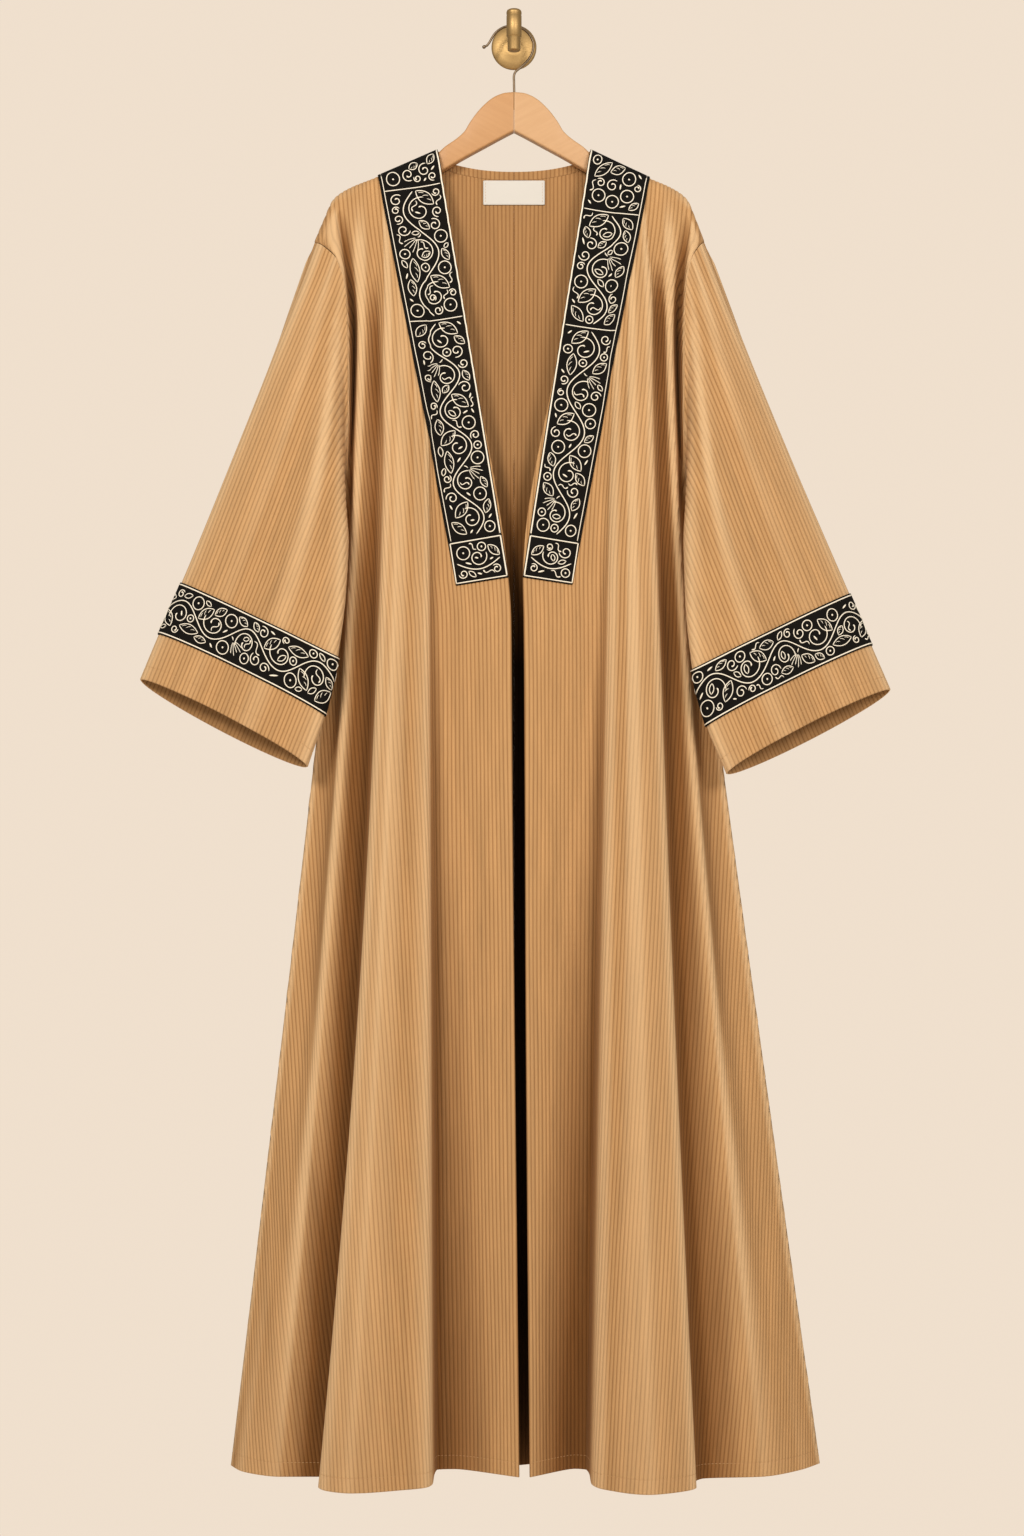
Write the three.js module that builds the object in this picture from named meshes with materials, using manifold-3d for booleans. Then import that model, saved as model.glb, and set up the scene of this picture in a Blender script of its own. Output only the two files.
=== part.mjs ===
// An open-front abaya in ribbed corduroy on a wooden hanger, hung from a brass wall hook.
//
// Millimetres, +Z up. The origin is the centre of the wall plate's back face, the wall is the plane y = 0,
// and the garment faces -Y. Sizes are given as `out`, the distance from the wall (-y), `down`, the distance
// below the origin (-z), and x measured outward from the middle, with the side's sign added at the end.
import * as THREE from "three";
import { mergeVertices } from "three/addons/utils/BufferGeometryUtils.js";
import Module from "manifold-3d";

const wasm = await Module();
wasm.setup();

// ---------------------------------------------------------------- driving dimensions
const CLOTH = 2; // corduroy wall
const BAND = 1.4; // embroidered band
const SEAM_GAP = 0.3; // between neighbouring pieces
const HANGER_OUT = 26; // the hanger's middle plane
const WRAP = 11.5; // how far the cloth stands before and behind that plane, over the hanger
const CHEST_DOWN = 330;
const UNDERARM_DOWN = 484;
const HEM_DOWN = 1567;
const NECK = { x: 83.6, down: 122.4, backDown: 142, bow: 2.3 }; // neck point and the back neck's curve
const BINDING = { x: 91.9, backDown: 151 }; // the lower edge of the neck binding
const OVER_WOOD = { share: 0.88, x: 5 }; // the end of the neck curve, where it comes over the hanger
const UNDERARM_OUT = 36;
const UNDERARM_EASE = 4.5; // how far each corner stands back from the underarm point
const FOLD_DEEPENING = 1.1; // below the chest the folds deepen a little faster toward the hem
const TOP_ROWS = 11; // rows between shoulder and underarm
const LOWER_ROWS = 11; // rows between underarm and hem

const SIDES = {
  left: {
    sign: -1,
    shoulderX: 219,
    armholeX: 181.5,
    sideSeam: { hemX: 311, hemOut: 25 },
    edge: [
      { down: 122.4, x: 83.6, out: 37.5 },
      { down: 330, x: 49.4, out: 50 },
      { down: 590, x: 6.5, out: 52 },
      { down: 640, x: 3.3, out: 53 },
      { down: 800, x: 2.2, out: 56 },
      { down: 1050, x: 0, out: 61 },
      { down: 1567, x: -5.4, out: 68 },
    ],
    folds: [
      { name: "recess", u: 0.14, topX: 96, chestX: 68, hemX: 64.5, bend: 1, chestOut: 50, hemOut: 39 },
      { name: "foot", u: 0.26, topX: 105, chestX: 82, hemX: 82, bend: 1, chestOut: 51, hemOut: 43 },
      { name: "inner", u: 0.31, topX: 112, chestX: 92, hemX: 92, bend: 1, chestOut: 54, hemOut: 90 },
      { name: "crestA", u: 0.42, topX: 122, chestX: 108, hemX: 116, bend: 1.2, chestOut: 60, hemOut: 115 },
      { name: "crestB", u: 0.54, topX: 133, chestX: 124, hemX: 173, bend: 1.7, chestOut: 63, hemOut: 126.5 },
      { name: "outer", u: 0.61, topX: 141, chestX: 137, hemX: 207, bend: 1.7, chestOut: 60, hemOut: 104 },
      { name: "valley", u: 0.67, topX: 152, chestX: 149.5, hemX: 203, bend: 1.6, chestOut: 45, hemOut: 70 },
      { name: "side", u: 0.82, topX: 171, chestX: 167, hemX: 253.6, bend: 1.4, chestOut: 55, hemOut: 66 },
      { name: "seamward", u: 0.92, topX: 194, chestX: 174, hemX: 296, bend: 1.7, chestOut: 38, hemOut: 47 },
    ],
    sleeve: {
      outer: [
        { k: 0, x: 219, down: 222.5, out: 26 },
        { k: 0.25, x: 261.3, down: 343.2, out: 30 },
        { k: 0.5, x: 308.1, down: 463.3, out: 34 },
        { k: 0.78, x: 363, down: 598.5, out: 38 },
        { k: 0.9, x: 387.5, down: 654.4, out: 39 },
        { k: 1, x: 408, down: 703.7, out: 40 },
      ],
      inner: [
        { k: 0, x: 185.2, down: UNDERARM_DOWN, out: UNDERARM_OUT },
        { k: 0.05, x: 188, down: 499, out: 38 },
        { k: 0.11, x: 186.5, down: 514, out: 48 },
        { k: 0.18, x: 182.5, down: 532, out: 61 },
        { k: 0.26, x: 179.5, down: 552, out: 72 },
        { k: 0.5, x: 182, down: 611.5, out: 80 },
        { k: 0.78, x: 190.4, down: 680.6, out: 84 },
        { k: 0.9, x: 204.8, down: 743.4, out: 82 },
        { k: 1, x: 223, down: 797.8, out: 80 },
      ],
    },
  },
  right: {
    sign: 1,
    shoulderX: 209,
    armholeX: 186,
    sideSeam: { hemX: 337, hemOut: 17 },
    edge: [
      { down: 122.4, x: 83.6, out: 37.5 },
      { down: 330, x: 50.9, out: 50 },
      { down: 590, x: 9.8, out: 52 },
      { down: 640, x: 10.9, out: 53 },
      { down: 800, x: 12, out: 56 },
      { down: 1050, x: 13, out: 61 },
      { down: 1567, x: 17.3, out: 68 },
    ],
    folds: [
      { name: "recess", u: 0.14, topX: 96, chestX: 70, hemX: 66, bend: 1, chestOut: 50, hemOut: 38 },
      { name: "foot", u: 0.26, topX: 105, chestX: 84, hemX: 77.5, bend: 1, chestOut: 51, hemOut: 42 },
      { name: "inner", u: 0.31, topX: 112, chestX: 93, hemX: 84, bend: 1, chestOut: 55, hemOut: 88 },
      { name: "crestA", u: 0.4, topX: 122, chestX: 106, hemX: 97, bend: 1.2, chestOut: 60, hemOut: 112 },
      { name: "crestB", u: 0.52, topX: 133, chestX: 124, hemX: 143, bend: 1.7, chestOut: 64, hemOut: 131 },
      { name: "outer", u: 0.61, topX: 141, chestX: 147, hemX: 193, bend: 1.3, chestOut: 60, hemOut: 100 },
      { name: "valley", u: 0.68, topX: 154, chestX: 159, hemX: 212, bend: 1.4, chestOut: 45, hemOut: 77 },
      { name: "side", u: 0.82, topX: 171, chestX: 170, hemX: 268, bend: 1.4, chestOut: 56, hemOut: 66 },
      { name: "seamward", u: 0.92, topX: 192, chestX: 178, hemX: 312, bend: 1.7, chestOut: 38, hemOut: 42 },
    ],
    sleeve: {
      outer: [
        { k: 0, x: 209, down: 222.5, out: 26 },
        { k: 0.25, x: 254.7, down: 343.2, out: 30 },
        { k: 0.5, x: 303.3, down: 463.3, out: 34 },
        { k: 0.78, x: 366.2, down: 610.5, out: 38 },
        { k: 0.9, x: 390, down: 666.5, out: 39 },
        { k: 1, x: 410.8, down: 714.7, out: 40 },
      ],
      inner: [
        { k: 0, x: 188.5, down: UNDERARM_DOWN, out: UNDERARM_OUT },
        { k: 0.05, x: 191, down: 499, out: 38 },
        { k: 0.11, x: 189.5, down: 514, out: 48 },
        { k: 0.18, x: 186, down: 532, out: 61 },
        { k: 0.26, x: 183.8, down: 552, out: 72 },
        { k: 0.5, x: 185.3, down: 619, out: 80 },
        { k: 0.78, x: 192.5, down: 694, out: 84 },
        { k: 0.9, x: 208.3, down: 754.8, out: 82 },
        { k: 1, x: 229.4, down: 805.4, out: 80 },
      ],
    },
  },
};

// The shoulder line: reach 0 is the neck point, reach 1 the drop-shoulder seam.
const SHOULDER = [
  { reach: 0, down: NECK.down },
  { reach: 0.5, down: 151.8 },
  { reach: 0.72, down: 164 },
  { reach: 0.84, down: 175.2 },
  { reach: 0.92, down: 197.2 },
  { reach: 1, down: 222.5 },
];
const SHOULDER_END_DOWN = SHOULDER.at(-1).down;

// The armhole, by its drop below the shoulder's end. Reach 1 is the shoulder's x, 0 the armhole's own.
const ARMHOLE = [
  { drop: 0, reach: 1, frontOut: 26, backOut: 26 },
  { drop: 4, reach: 0.813, frontOut: 37.5, backOut: 16 },
  { drop: 10, reach: 0.613, frontOut: 42, backOut: 15 },
  { drop: 22, reach: 0.323, frontOut: 48, backOut: 14 },
  { drop: 57, reach: 0.067, frontOut: 52, backOut: 14 },
  { drop: 118, reach: 0, frontOut: 54, backOut: 14 },
  { drop: 195, reach: 0, frontOut: 52, backOut: 16 },
  { drop: 240, reach: 0.04, frontOut: 46, backOut: 22 },
  { drop: UNDERARM_DOWN - SHOULDER_END_DOWN, reach: 0.1, frontOut: UNDERARM_OUT, backOut: UNDERARM_OUT },
];

// The back's folds: u is also the share of the way from the centre back to the armhole or side seam.
const NECK_U = 0.46; // the back's column that meets the end of the binding
const BACK_FOLDS = [
  { u: 0, chestOut: 16, hemOut: 25 },
  { u: 0.17, chestOut: 13, hemOut: 10 },
  { u: 0.36, chestOut: 15, hemOut: 38 },
  { u: NECK_U, chestOut: 14, hemOut: 25 },
  { u: 0.55, chestOut: 13, hemOut: 12 },
  { u: 0.72, chestOut: 15, hemOut: 34 },
  { u: 0.88, chestOut: 14, hemOut: 12 },
];
const BACK_SHOULDER = [
  { u: 0.55, x: 112 },
  { u: 0.72, x: 150 },
  { u: 0.88, x: 188 },
];
const NECK_COLUMNS = [0.06, 0.115, 0.23, 0.295, 0.405, 0.42, 0.44];

// The sleeve's fullness before and behind the line from its outer to its inner edge.
const SLEEVE_FULLNESS = [
  { k: 0, front: 24, back: 16 },
  { k: 0.25, front: 28, back: 14 },
  { k: 0.5, front: 26, back: 16 },
  { k: 0.78, front: 22, back: 18 },
  { k: 1, front: 19, back: 20 },
];
// The sleeve's front has a ridge and a groove along it; across is 0 at its outer edge and 1 at its inner.
const SLEEVE_CREASES = [
  { across: 0.64, width: 0.1, out: 5 },
  { across: 0.4, width: 0.09, out: -4 },
];
const SLEEVE_LIP = { above: 0.004, atCuff: 0.016, from: 0.8, behind: 1.1 }; // how far the front dips along it
const UNDERARM_CLEAR = 14; // how far the sleeve's back swings out round the body's side, under the arm
const SLEEVE_RINGS = [0, 0.05, 0.11, 0.18, 0.26, 0.35, 0.45, 0.56, 0.67, 0.78, 0.84, 0.9, 0.95, 1];
const CUFF_BAND = { from: 0.78, to: 0.9 };

// The lapel band's outer line runs from outerTop to the end block, whose corners are given; the band's
// outline runs on past the panel's front edge and over the shoulder.
const LAPEL = {
  outerTop: { x: 158.1, down: 100 },
  blockTop: { innerX: 9.8, innerDown: 544.1, outerX: 71.9, outerDown: 552.8 },
  blockFoot: { innerX: 6.5, innerDown: 592, outerX: 63.2, outerDown: 597.4 },
  pastEdgeX: -30,
};
const LABEL = { width: 67, height: 26, thick: 0.8, top: 152, out: 16.5 };

const HANGER = { thick: 13.5, round: 6, middleTop: 57.8, tipX: 187, boreRadius: 1.7, boreDrop: 10 };
const HANGER_TOP = [
  { x: 0, down: 57.8 },
  { x: 10, down: 58.7 },
  { x: 18.7, down: 61.6 },
  { x: 25, down: 65.2 },
  { x: 30.4, down: 69.6 },
  { x: 38.7, down: 78 },
  { x: 48.4, down: 91 },
  { x: 54.2, down: 100.7 },
  { x: 63.8, down: 109.4 },
  { x: 74.8, down: 117 },
  { x: 83.6, down: 124.1 },
];
// The rounded end of an arm, from the end of its top edge: inward from the tip and down.
const HANGER_TIP = [
  { inward: 5, drop: 0 },
  { inward: 1, drop: 4 },
  { inward: 0, drop: 9 },
  { inward: 2, drop: 15 },
  { inward: 7, drop: 18 },
];
const HANGER_FOOT = [
  { x: 150, down: 183 },
  { x: 120, down: 168 },
  { x: 95, down: 154 },
  { x: 75.9, down: 144.4 },
  { x: 55, down: 131 },
  { x: 30, down: 117 },
  { x: 12, down: 105 },
  { x: 0, down: 102 },
];
const CLOTH_OVER_WOOD = 1.7; // from the hanger's top edge up to the middle of the cloth that lies on it
const TIP_CLEARANCE = { extra: 1.8, fromX: 140, overX: 30 }; // more of it where the shoulder rounds down

// The hook: up from the wood, round the wall hook's stem, and out to a rounded tip.
const WIRE_RADIUS = 1.4;
const HOOK_STEM = [
  { x: 0, down: 76 },
  { x: 0.2, down: 66 },
  { x: 0.2, down: 57.8 },
  { x: 0, down: 46 },
  { x: 0, down: 38.8 },
  { x: 2, down: 34 },
  { x: 8, down: 29 },
  { x: 15, down: 22 },
  { x: 19.8, down: 14 },
];
const HOOK_ARC = { x: -2.5, down: 8, radius: 24.3, from: 8, to: 150, steps: 12 };
const HOOK_TIP = [
  { x: -27, down: 1.9 },
  { x: -30, down: 5.6 },
  { x: -33, down: 6.4 },
];
const HOOK_BEAD = { radius: 2, drop: 0.6 };

// The wall hook: a turned rose on the wall, and a stem that rises from it to a turned upright bar.
const ROSE = [
  { radius: 0, out: 0 },
  { radius: 25, out: 0 },
  { radius: 25, out: 2 },
  { radius: 23, out: 3.4 },
  { radius: 11, out: 6.6 },
  { radius: 9.6, out: 7 },
  { radius: 0, out: 7 },
];
const BAR = [
  { radius: 0, up: -18.7 },
  { radius: 6, up: -18.7 },
  { radius: 7, up: -17.5 },
  { radius: 7, up: -4 },
  { radius: 8.25, up: -3 },
  { radius: 8.25, up: 19.5 },
  { radius: 7.6, up: 20.4 },
  { radius: 8.25, up: 21.3 },
  { radius: 8.25, up: 23 },
  { radius: 5, up: 26 },
  { radius: 0, up: 26.5 },
];
const BAR_OUT = 50;
const STEM = { radius: 6.5, rootUp: 1, headUp: 13.9, spare: 8 };

const MATERIALS = {
  corduroy: { color: 0xc4905c, roughness: 0.92, metalness: 0 },
  band: { color: 0x17130f, roughness: 0.85, metalness: 0 },
  label: { color: 0xece6da, roughness: 0.8, metalness: 0 },
  lightWood: { color: 0xdcb48b, roughness: 0.55, metalness: 0 },
  darkWood: { color: 0xcda175, roughness: 0.55, metalness: 0 },
  steel: { color: 0x6a5a4a, roughness: 0.35, metalness: 1 },
  brass: { color: 0xa8814a, roughness: 0.35, metalness: 1 },
};

// ---------------------------------------------------------------- small mathematics
const lerp = THREE.MathUtils.lerp;
const clamp = THREE.MathUtils.clamp;
const smooth = (t) => THREE.MathUtils.smoothstep(t, 0, 1);

// A curve through table rows that never overshoots them; it runs on straight past its ends.
function curve(rows, key, field) {
  const xs = rows.map((row) => row[key]);
  const ys = rows.map((row) => row[field]);
  const last = xs.length - 1;
  const rise = xs.slice(1).map((x, i) => (ys[i + 1] - ys[i]) / (x - xs[i]));
  const slope = xs.map((_, i) => {
    if (i === 0) return rise[0];
    if (i === last) return rise[last - 1];
    const [before, after] = [rise[i - 1], rise[i]];
    return before * after <= 0 ? 0 : (2 * before * after) / (before + after);
  });
  return (x) => {
    if (x <= xs[0]) return ys[0] + slope[0] * (x - xs[0]);
    if (x >= xs[last]) return ys[last] + slope[last] * (x - xs[last]);
    const i = xs.findIndex((next, n) => n > 0 && x <= next) - 1;
    const width = xs[i + 1] - xs[i];
    const t = (x - xs[i]) / width;
    const [t2, t3] = [t * t, t * t * t];
    return (
      ys[i] * (2 * t3 - 3 * t2 + 1) +
      ys[i + 1] * (3 * t2 - 2 * t3) +
      width * (slope[i] * (t3 - 2 * t2 + t) + slope[i + 1] * (t3 - t2))
    );
  };
}

// The values of a spline through a few numbers at rising places.
const through = (places, values) =>
  curve(
    places.map((at, i) => ({ at, value: values[i] })),
    "at",
    "value",
  );

// ---------------------------------------------------------------- the garment's surfaces
const shoulderDrop = curve(SHOULDER, "reach", "down");
const hangerTop = curve(HANGER_TOP, "x", "down");
const armhole = {
  reach: curve(ARMHOLE, "drop", "reach"),
  front: curve(ARMHOLE, "drop", "frontOut"),
  back: curve(ARMHOLE, "drop", "backOut"),
};

// How far down the shoulder line lies at x; inside the neck it goes on up along the hanger.
function shoulderDown(side, x) {
  if (x < NECK.x) return hangerTop(x) - CLOTH_OVER_WOOD;
  return shoulderDrop((x - NECK.x) / (side.shoulderX - NECK.x));
}

// A curve round the back neck, from the middle (share 0) to the shoulder line (share 1). It runs behind the
// hanger and comes over the wood at its end; `turn` is the angle round the cloth's bend there.
function neckCurve(side, end, share) {
  const rest = clamp((share - OVER_WOOD.share) / (1 - OVER_WOOD.share), 0, 1);
  const turn = (rest * Math.PI) / 2;
  const woodX = end.x - OVER_WOOD.x;
  if (rest > 0) {
    const x = lerp(woodX, end.x, rest);
    return { x, down: shoulderDown(side, x) + WRAP * (1 - Math.sin(turn)), turn };
  }
  const part = share / OVER_WOOD.share;
  const foot = shoulderDown(side, woodX) + WRAP;
  return { x: woodX * part, down: lerp(end.backDown, foot, part ** NECK.bow), turn };
}

// The cloth leaves the shoulder line level and turns down over a quarter round.
function overHanger(side, x, out, down) {
  const t = clamp((down - shoulderDown(side, x)) / WRAP, 0, 1);
  return HANGER_OUT + (out - HANGER_OUT) * Math.sqrt(1 - (1 - t) ** 2);
}

// The last column of a panel: the armhole above the underarm, the side seam below it.
function seamPoint(side, down, face) {
  const drop = down - SHOULDER_END_DOWN;
  if (down <= UNDERARM_DOWN)
    return {
      x: lerp(side.armholeX, side.shoulderX, armhole.reach(drop)),
      out: armhole[face](drop),
    };
  const t = (down - UNDERARM_DOWN) / (HEM_DOWN - UNDERARM_DOWN);
  const underarmX = lerp(side.armholeX, side.shoulderX, ARMHOLE.at(-1).reach);
  return {
    x: lerp(underarmX, side.sideSeam.hemX, t ** 1.05),
    out: lerp(UNDERARM_OUT, side.sideSeam.hemOut, t),
  };
}

// A row's height: level at the hem, and parallel to the shoulder at the top.
function rowDown(v, topDown) {
  const fade = (1 - Math.min(1, v / 0.6)) ** 1.8;
  return lerp(NECK.down, HEM_DOWN, v) + (topDown - NECK.down) * fade;
}

function underarmRow() {
  let [low, high] = [0.1, 0.4];
  for (let step = 0; step < 50; step++) {
    const middle = (low + high) / 2;
    if (rowDown(middle, SHOULDER_END_DOWN) < UNDERARM_DOWN) low = middle;
    else high = middle;
  }
  return (low + high) / 2;
}

const UNDERARM_V = underarmRow();
const PANEL_ROWS = [
  ...Array.from({ length: TOP_ROWS + 1 }, (_, j) => UNDERARM_V * (j / TOP_ROWS) ** 2.2),
  ...Array.from({ length: LOWER_ROWS }, (_, j) => lerp(UNDERARM_V, 1, (j + 1) / LOWER_ROWS)),
];

// A measure of a fold line at a height: from the shoulder to the chest, then on to the hem.
function alongFold([top, chest, hem], bend, down, topDown) {
  if (down < CHEST_DOWN) return lerp(top, chest, smooth((down - topDown) / (CHEST_DOWN - topDown)));
  return lerp(chest, hem, ((down - CHEST_DOWN) / (HEM_DOWN - CHEST_DOWN)) ** bend);
}
const foldX = (fold, down, topDown) =>
  alongFold([fold.topX, fold.chestX, fold.hemX], fold.bend, down, topDown);
const foldOut = (fold, topOut, down, topDown) =>
  alongFold([topOut, fold.chestOut, fold.hemOut], FOLD_DEEPENING, down, topDown);

// A panel's surface from its fold lines: u runs from the middle to the seam, v from shoulder to hem, and
// top(u) is the panel's top edge. Up to the column straightTo, x is in proportion to u.
function panelSurface(side, lines, top, straightTo = 0) {
  const places = lines.map((line) => line.u);
  return (u, v) => {
    const down = rowDown(v, top(u).down);
    const points = lines.map((line) => line.at(rowDown(v, top(line.u).down)));
    const x = u < straightTo ? backX(side, u, down, top(u)) : through(places, points.map((p) => p.x))(u);
    const out = through(places, points.map((p) => p.out))(u);
    const wrapped = v > 0.1 ? out : overHanger(side, x, out, down);
    return new THREE.Vector3(side.sign * x, -wrapped, -down);
  };
}

function frontSurface(side) {
  const edgeX = curve(side.edge, "down", "x");
  const edgeOut = curve(side.edge, "down", "out");
  const topX = through(
    [0, ...side.folds.map((fold) => fold.u), 1],
    [NECK.x, ...side.folds.map((fold) => fold.topX), side.shoulderX],
  );
  const top = (u) => ({ x: topX(u), down: shoulderDown(side, topX(u)) });
  const lines = [
    { u: 0, at: (down) => ({ x: edgeX(down), out: edgeOut(down) }) },
    ...side.folds.map((fold) => ({
      u: fold.u,
      at: (down) => ({
        x: foldX(fold, down, top(fold.u).down),
        out: foldOut(fold, HANGER_OUT + WRAP, down, top(fold.u).down),
      }),
    })),
    { u: 1, at: (down) => seamPoint(side, down, "front") },
  ];
  return panelSurface(side, lines, top);
}

// The back's x: its place on the top edge, eased into its share of the half width by the chest.
function backX(side, u, down, top) {
  const seamX = seamPoint(side, Math.max(down, SHOULDER_END_DOWN), "back").x;
  return lerp(top.x, u * seamX, smooth((down - top.down) / (CHEST_DOWN - top.down)));
}

function backSurface(side) {
  const shoulderX = through(
    [NECK_U, ...BACK_SHOULDER.map((row) => row.u), 1],
    [BINDING.x, ...BACK_SHOULDER.map((row) => row.x), side.shoulderX],
  );
  const top = (u) => {
    if (u < NECK_U) return neckCurve(side, BINDING, u / NECK_U);
    return { x: shoulderX(u), down: shoulderDown(side, shoulderX(u)) };
  };
  const lines = [
    ...BACK_FOLDS.map((fold) => ({
      u: fold.u,
      at: (down) => ({
        x: backX(side, fold.u, down, top(fold.u)),
        out: foldOut(fold, HANGER_OUT - WRAP, down, top(fold.u).down),
      }),
    })),
    { u: 1, at: (down) => seamPoint(side, down, "back") },
  ];
  return panelSurface(side, lines, top, NECK_U);
}

// The neck binding: from the garment's neck edge (w = 0) to the back panel's top edge (w = 1).
function bindingSurface(side, back) {
  return (u, w) => {
    if (w === 1) return back(u, 0);
    const head = neckCurve(side, NECK, u / NECK_U);
    const foot = neckCurve(side, BINDING, u / NECK_U);
    const x = lerp(head.x, foot.x, w);
    const lift = WRAP * (1 - Math.sin(head.turn));
    const down = head.turn > 0 ? shoulderDown(side, x) + lift : lerp(head.down, foot.down, w);
    return new THREE.Vector3(side.sign * x, -(HANGER_OUT - WRAP * Math.cos(head.turn)), -down);
  };
}

// The sleeve: turn 0 is its outer edge, 0 to 0.5 the front, 0.5 the inner edge, and so round by the back.
// At k = 0 it follows the armhole, and at k = 1 it ends in the cuff.
function sleeveSurface(side, front, back) {
  const edges = Object.fromEntries(
    ["outer", "inner"].map((edge) => [
      edge,
      ["x", "down", "out"].map((field) => curve(side.sleeve[edge], "k", field)),
    ]),
  );
  const fullness = {
    front: curve(SLEEVE_FULLNESS, "k", "front"),
    back: curve(SLEEVE_FULLNESS, "k", "back"),
  };
  const creaseAt = (across) =>
    SLEEVE_CREASES.reduce((sum, c) => sum + c.out * Math.exp(-(((across - c.across) / c.width) ** 2)), 0);
  const tube = (turn, k) => {
    const angle = 2 * Math.PI * turn;
    const across = (1 - Math.cos(angle)) / 2;
    const swing = Math.sin(angle);
    const isFront = swing > 0;
    const atCuff = smooth((k - SLEEVE_LIP.from) / (1 - SLEEVE_LIP.from));
    const lip = lerp(SLEEVE_LIP.above, SLEEVE_LIP.atCuff, atCuff) * (isFront ? 1 : SLEEVE_LIP.behind);
    const at = k - lip * swing * smooth(k / 0.5);
    const [x, down, out] = edges.outer.map((read, i) => lerp(read(at), edges.inner[i](at), across));
    const bulge = Math.abs(swing) ** 0.75 * (isFront ? fullness.front(k) : -fullness.back(k));
    const crease = isFront ? creaseAt(across) * smooth(k / 0.3) * Math.min(1, swing * 1.5) : 0;
    const clearing = smooth(k / 0.05) * (1 - smooth((k - 0.15) / 0.2));
    const clear = isFront ? 0 : UNDERARM_CLEAR * -swing * clearing;
    return new THREE.Vector3(side.sign * (x + clear), -(out + bulge + crease), -down);
  };
  return (turn, k) => {
    const half = turn <= 0.5 ? turn : 1 - turn;
    const row = UNDERARM_V * (2 * half) ** 2.2;
    const seam = (turn <= 0.5 ? front : back)(1, row);
    const shift = seam.sub(tube(turn, 0)).multiplyScalar(1 - smooth(k / 0.3));
    return tube(turn, k).add(shift);
  };
}

// ---------------------------------------------------------------- grids, walls and solids
// The columns of a panel: its fold lines and even steps between them.
function columns(places, step) {
  const all = [0, ...places.filter((u) => u > 0), 1];
  return all.flatMap((u, i) => {
    if (i === 0) return [0];
    const count = Math.max(1, Math.round((u - all[i - 1]) / step));
    return Array.from({ length: count }, (_, n) => lerp(all[i - 1], u, (n + 1) / count));
  });
}

// rows of points; `closed` joins the last column to the first, and `flip` turns the outside round.
function grid(rows, { closed = false, flip = false }) {
  return { rows, closed, flip };
}

function quads({ rows, closed }) {
  const width = rows[0].length;
  const faces = [];
  for (let r = 0; r + 1 < rows.length; r++)
    for (let c = 0; c + (closed ? 0 : 1) < width; c++) {
      const next = (c + 1) % width;
      faces.push([[r, c], [r, next], [r + 1, next], [r + 1, c]]);
    }
  return faces;
}

const isAt = (p, places) => places.some((place) => place.distanceTo(p) < 0.01);
const keyOf = (p) => [p.x, p.y, p.z].map((value) => Math.round(value * 100)).join();

// Outward normals, shared where pieces meet along a seam so that their walls are mitred.
function sharedNormals(grids) {
  const sums = new Map();
  for (const piece of grids)
    for (const face of quads(piece)) {
      const [a, b, c, d] = face.map(([r, col]) => piece.rows[r][col]);
      const normal = c.clone().sub(a).cross(d.clone().sub(b));
      if (piece.flip) normal.negate();
      const unit = normal.clone().normalize();
      for (const p of [a, b, c, d]) {
        const key = keyOf(p);
        if (!sums.has(key)) sums.set(key, new THREE.Vector3());
        sums.get(key).add(unit);
      }
    }
  return (p) => sums.get(keyOf(p)).clone();
}

// Thickness vectors: level with the shoulder seam's plane there, and straight at the centre back. At the
// underarm, where four pieces meet, each has its own.
function wallNormals(piece, normalAt, underarms) {
  const ownNormalAt = sharedNormals([piece]);
  return piece.rows.map((row) =>
    row.map((p) => {
      const normal = (isAt(p, underarms) ? ownNormalAt : normalAt)(p);
      if (Math.abs(p.y + HANGER_OUT) < 0.01) normal.y = 0;
      if (Math.abs(p.x) < 0.01) normal.x = 0;
      return normal.normalize();
    }),
  );
}

// Boundary points stand back from the seam by half the gap, toward their neighbours inside the piece.
function insetRows(piece, underarms) {
  const { rows, closed } = piece;
  const lastRow = rows.length - 1;
  const lastCol = rows[0].length - 1;
  return rows.map((row, r) =>
    row.map((p, c) => {
      const moved = p.clone();
      const ease = isAt(p, underarms) ? UNDERARM_EASE : SEAM_GAP / 2;
      const pull = (q) => moved.addScaledVector(q.clone().sub(p).normalize(), ease);
      if (r === 0) pull(rows[1][c]);
      if (r === lastRow) pull(rows[lastRow - 1][c]);
      if (!closed && c === 0) pull(row[1]);
      if (!closed && c === lastCol) pull(row[lastCol - 1]);
      return moved;
    }),
  );
}

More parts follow.
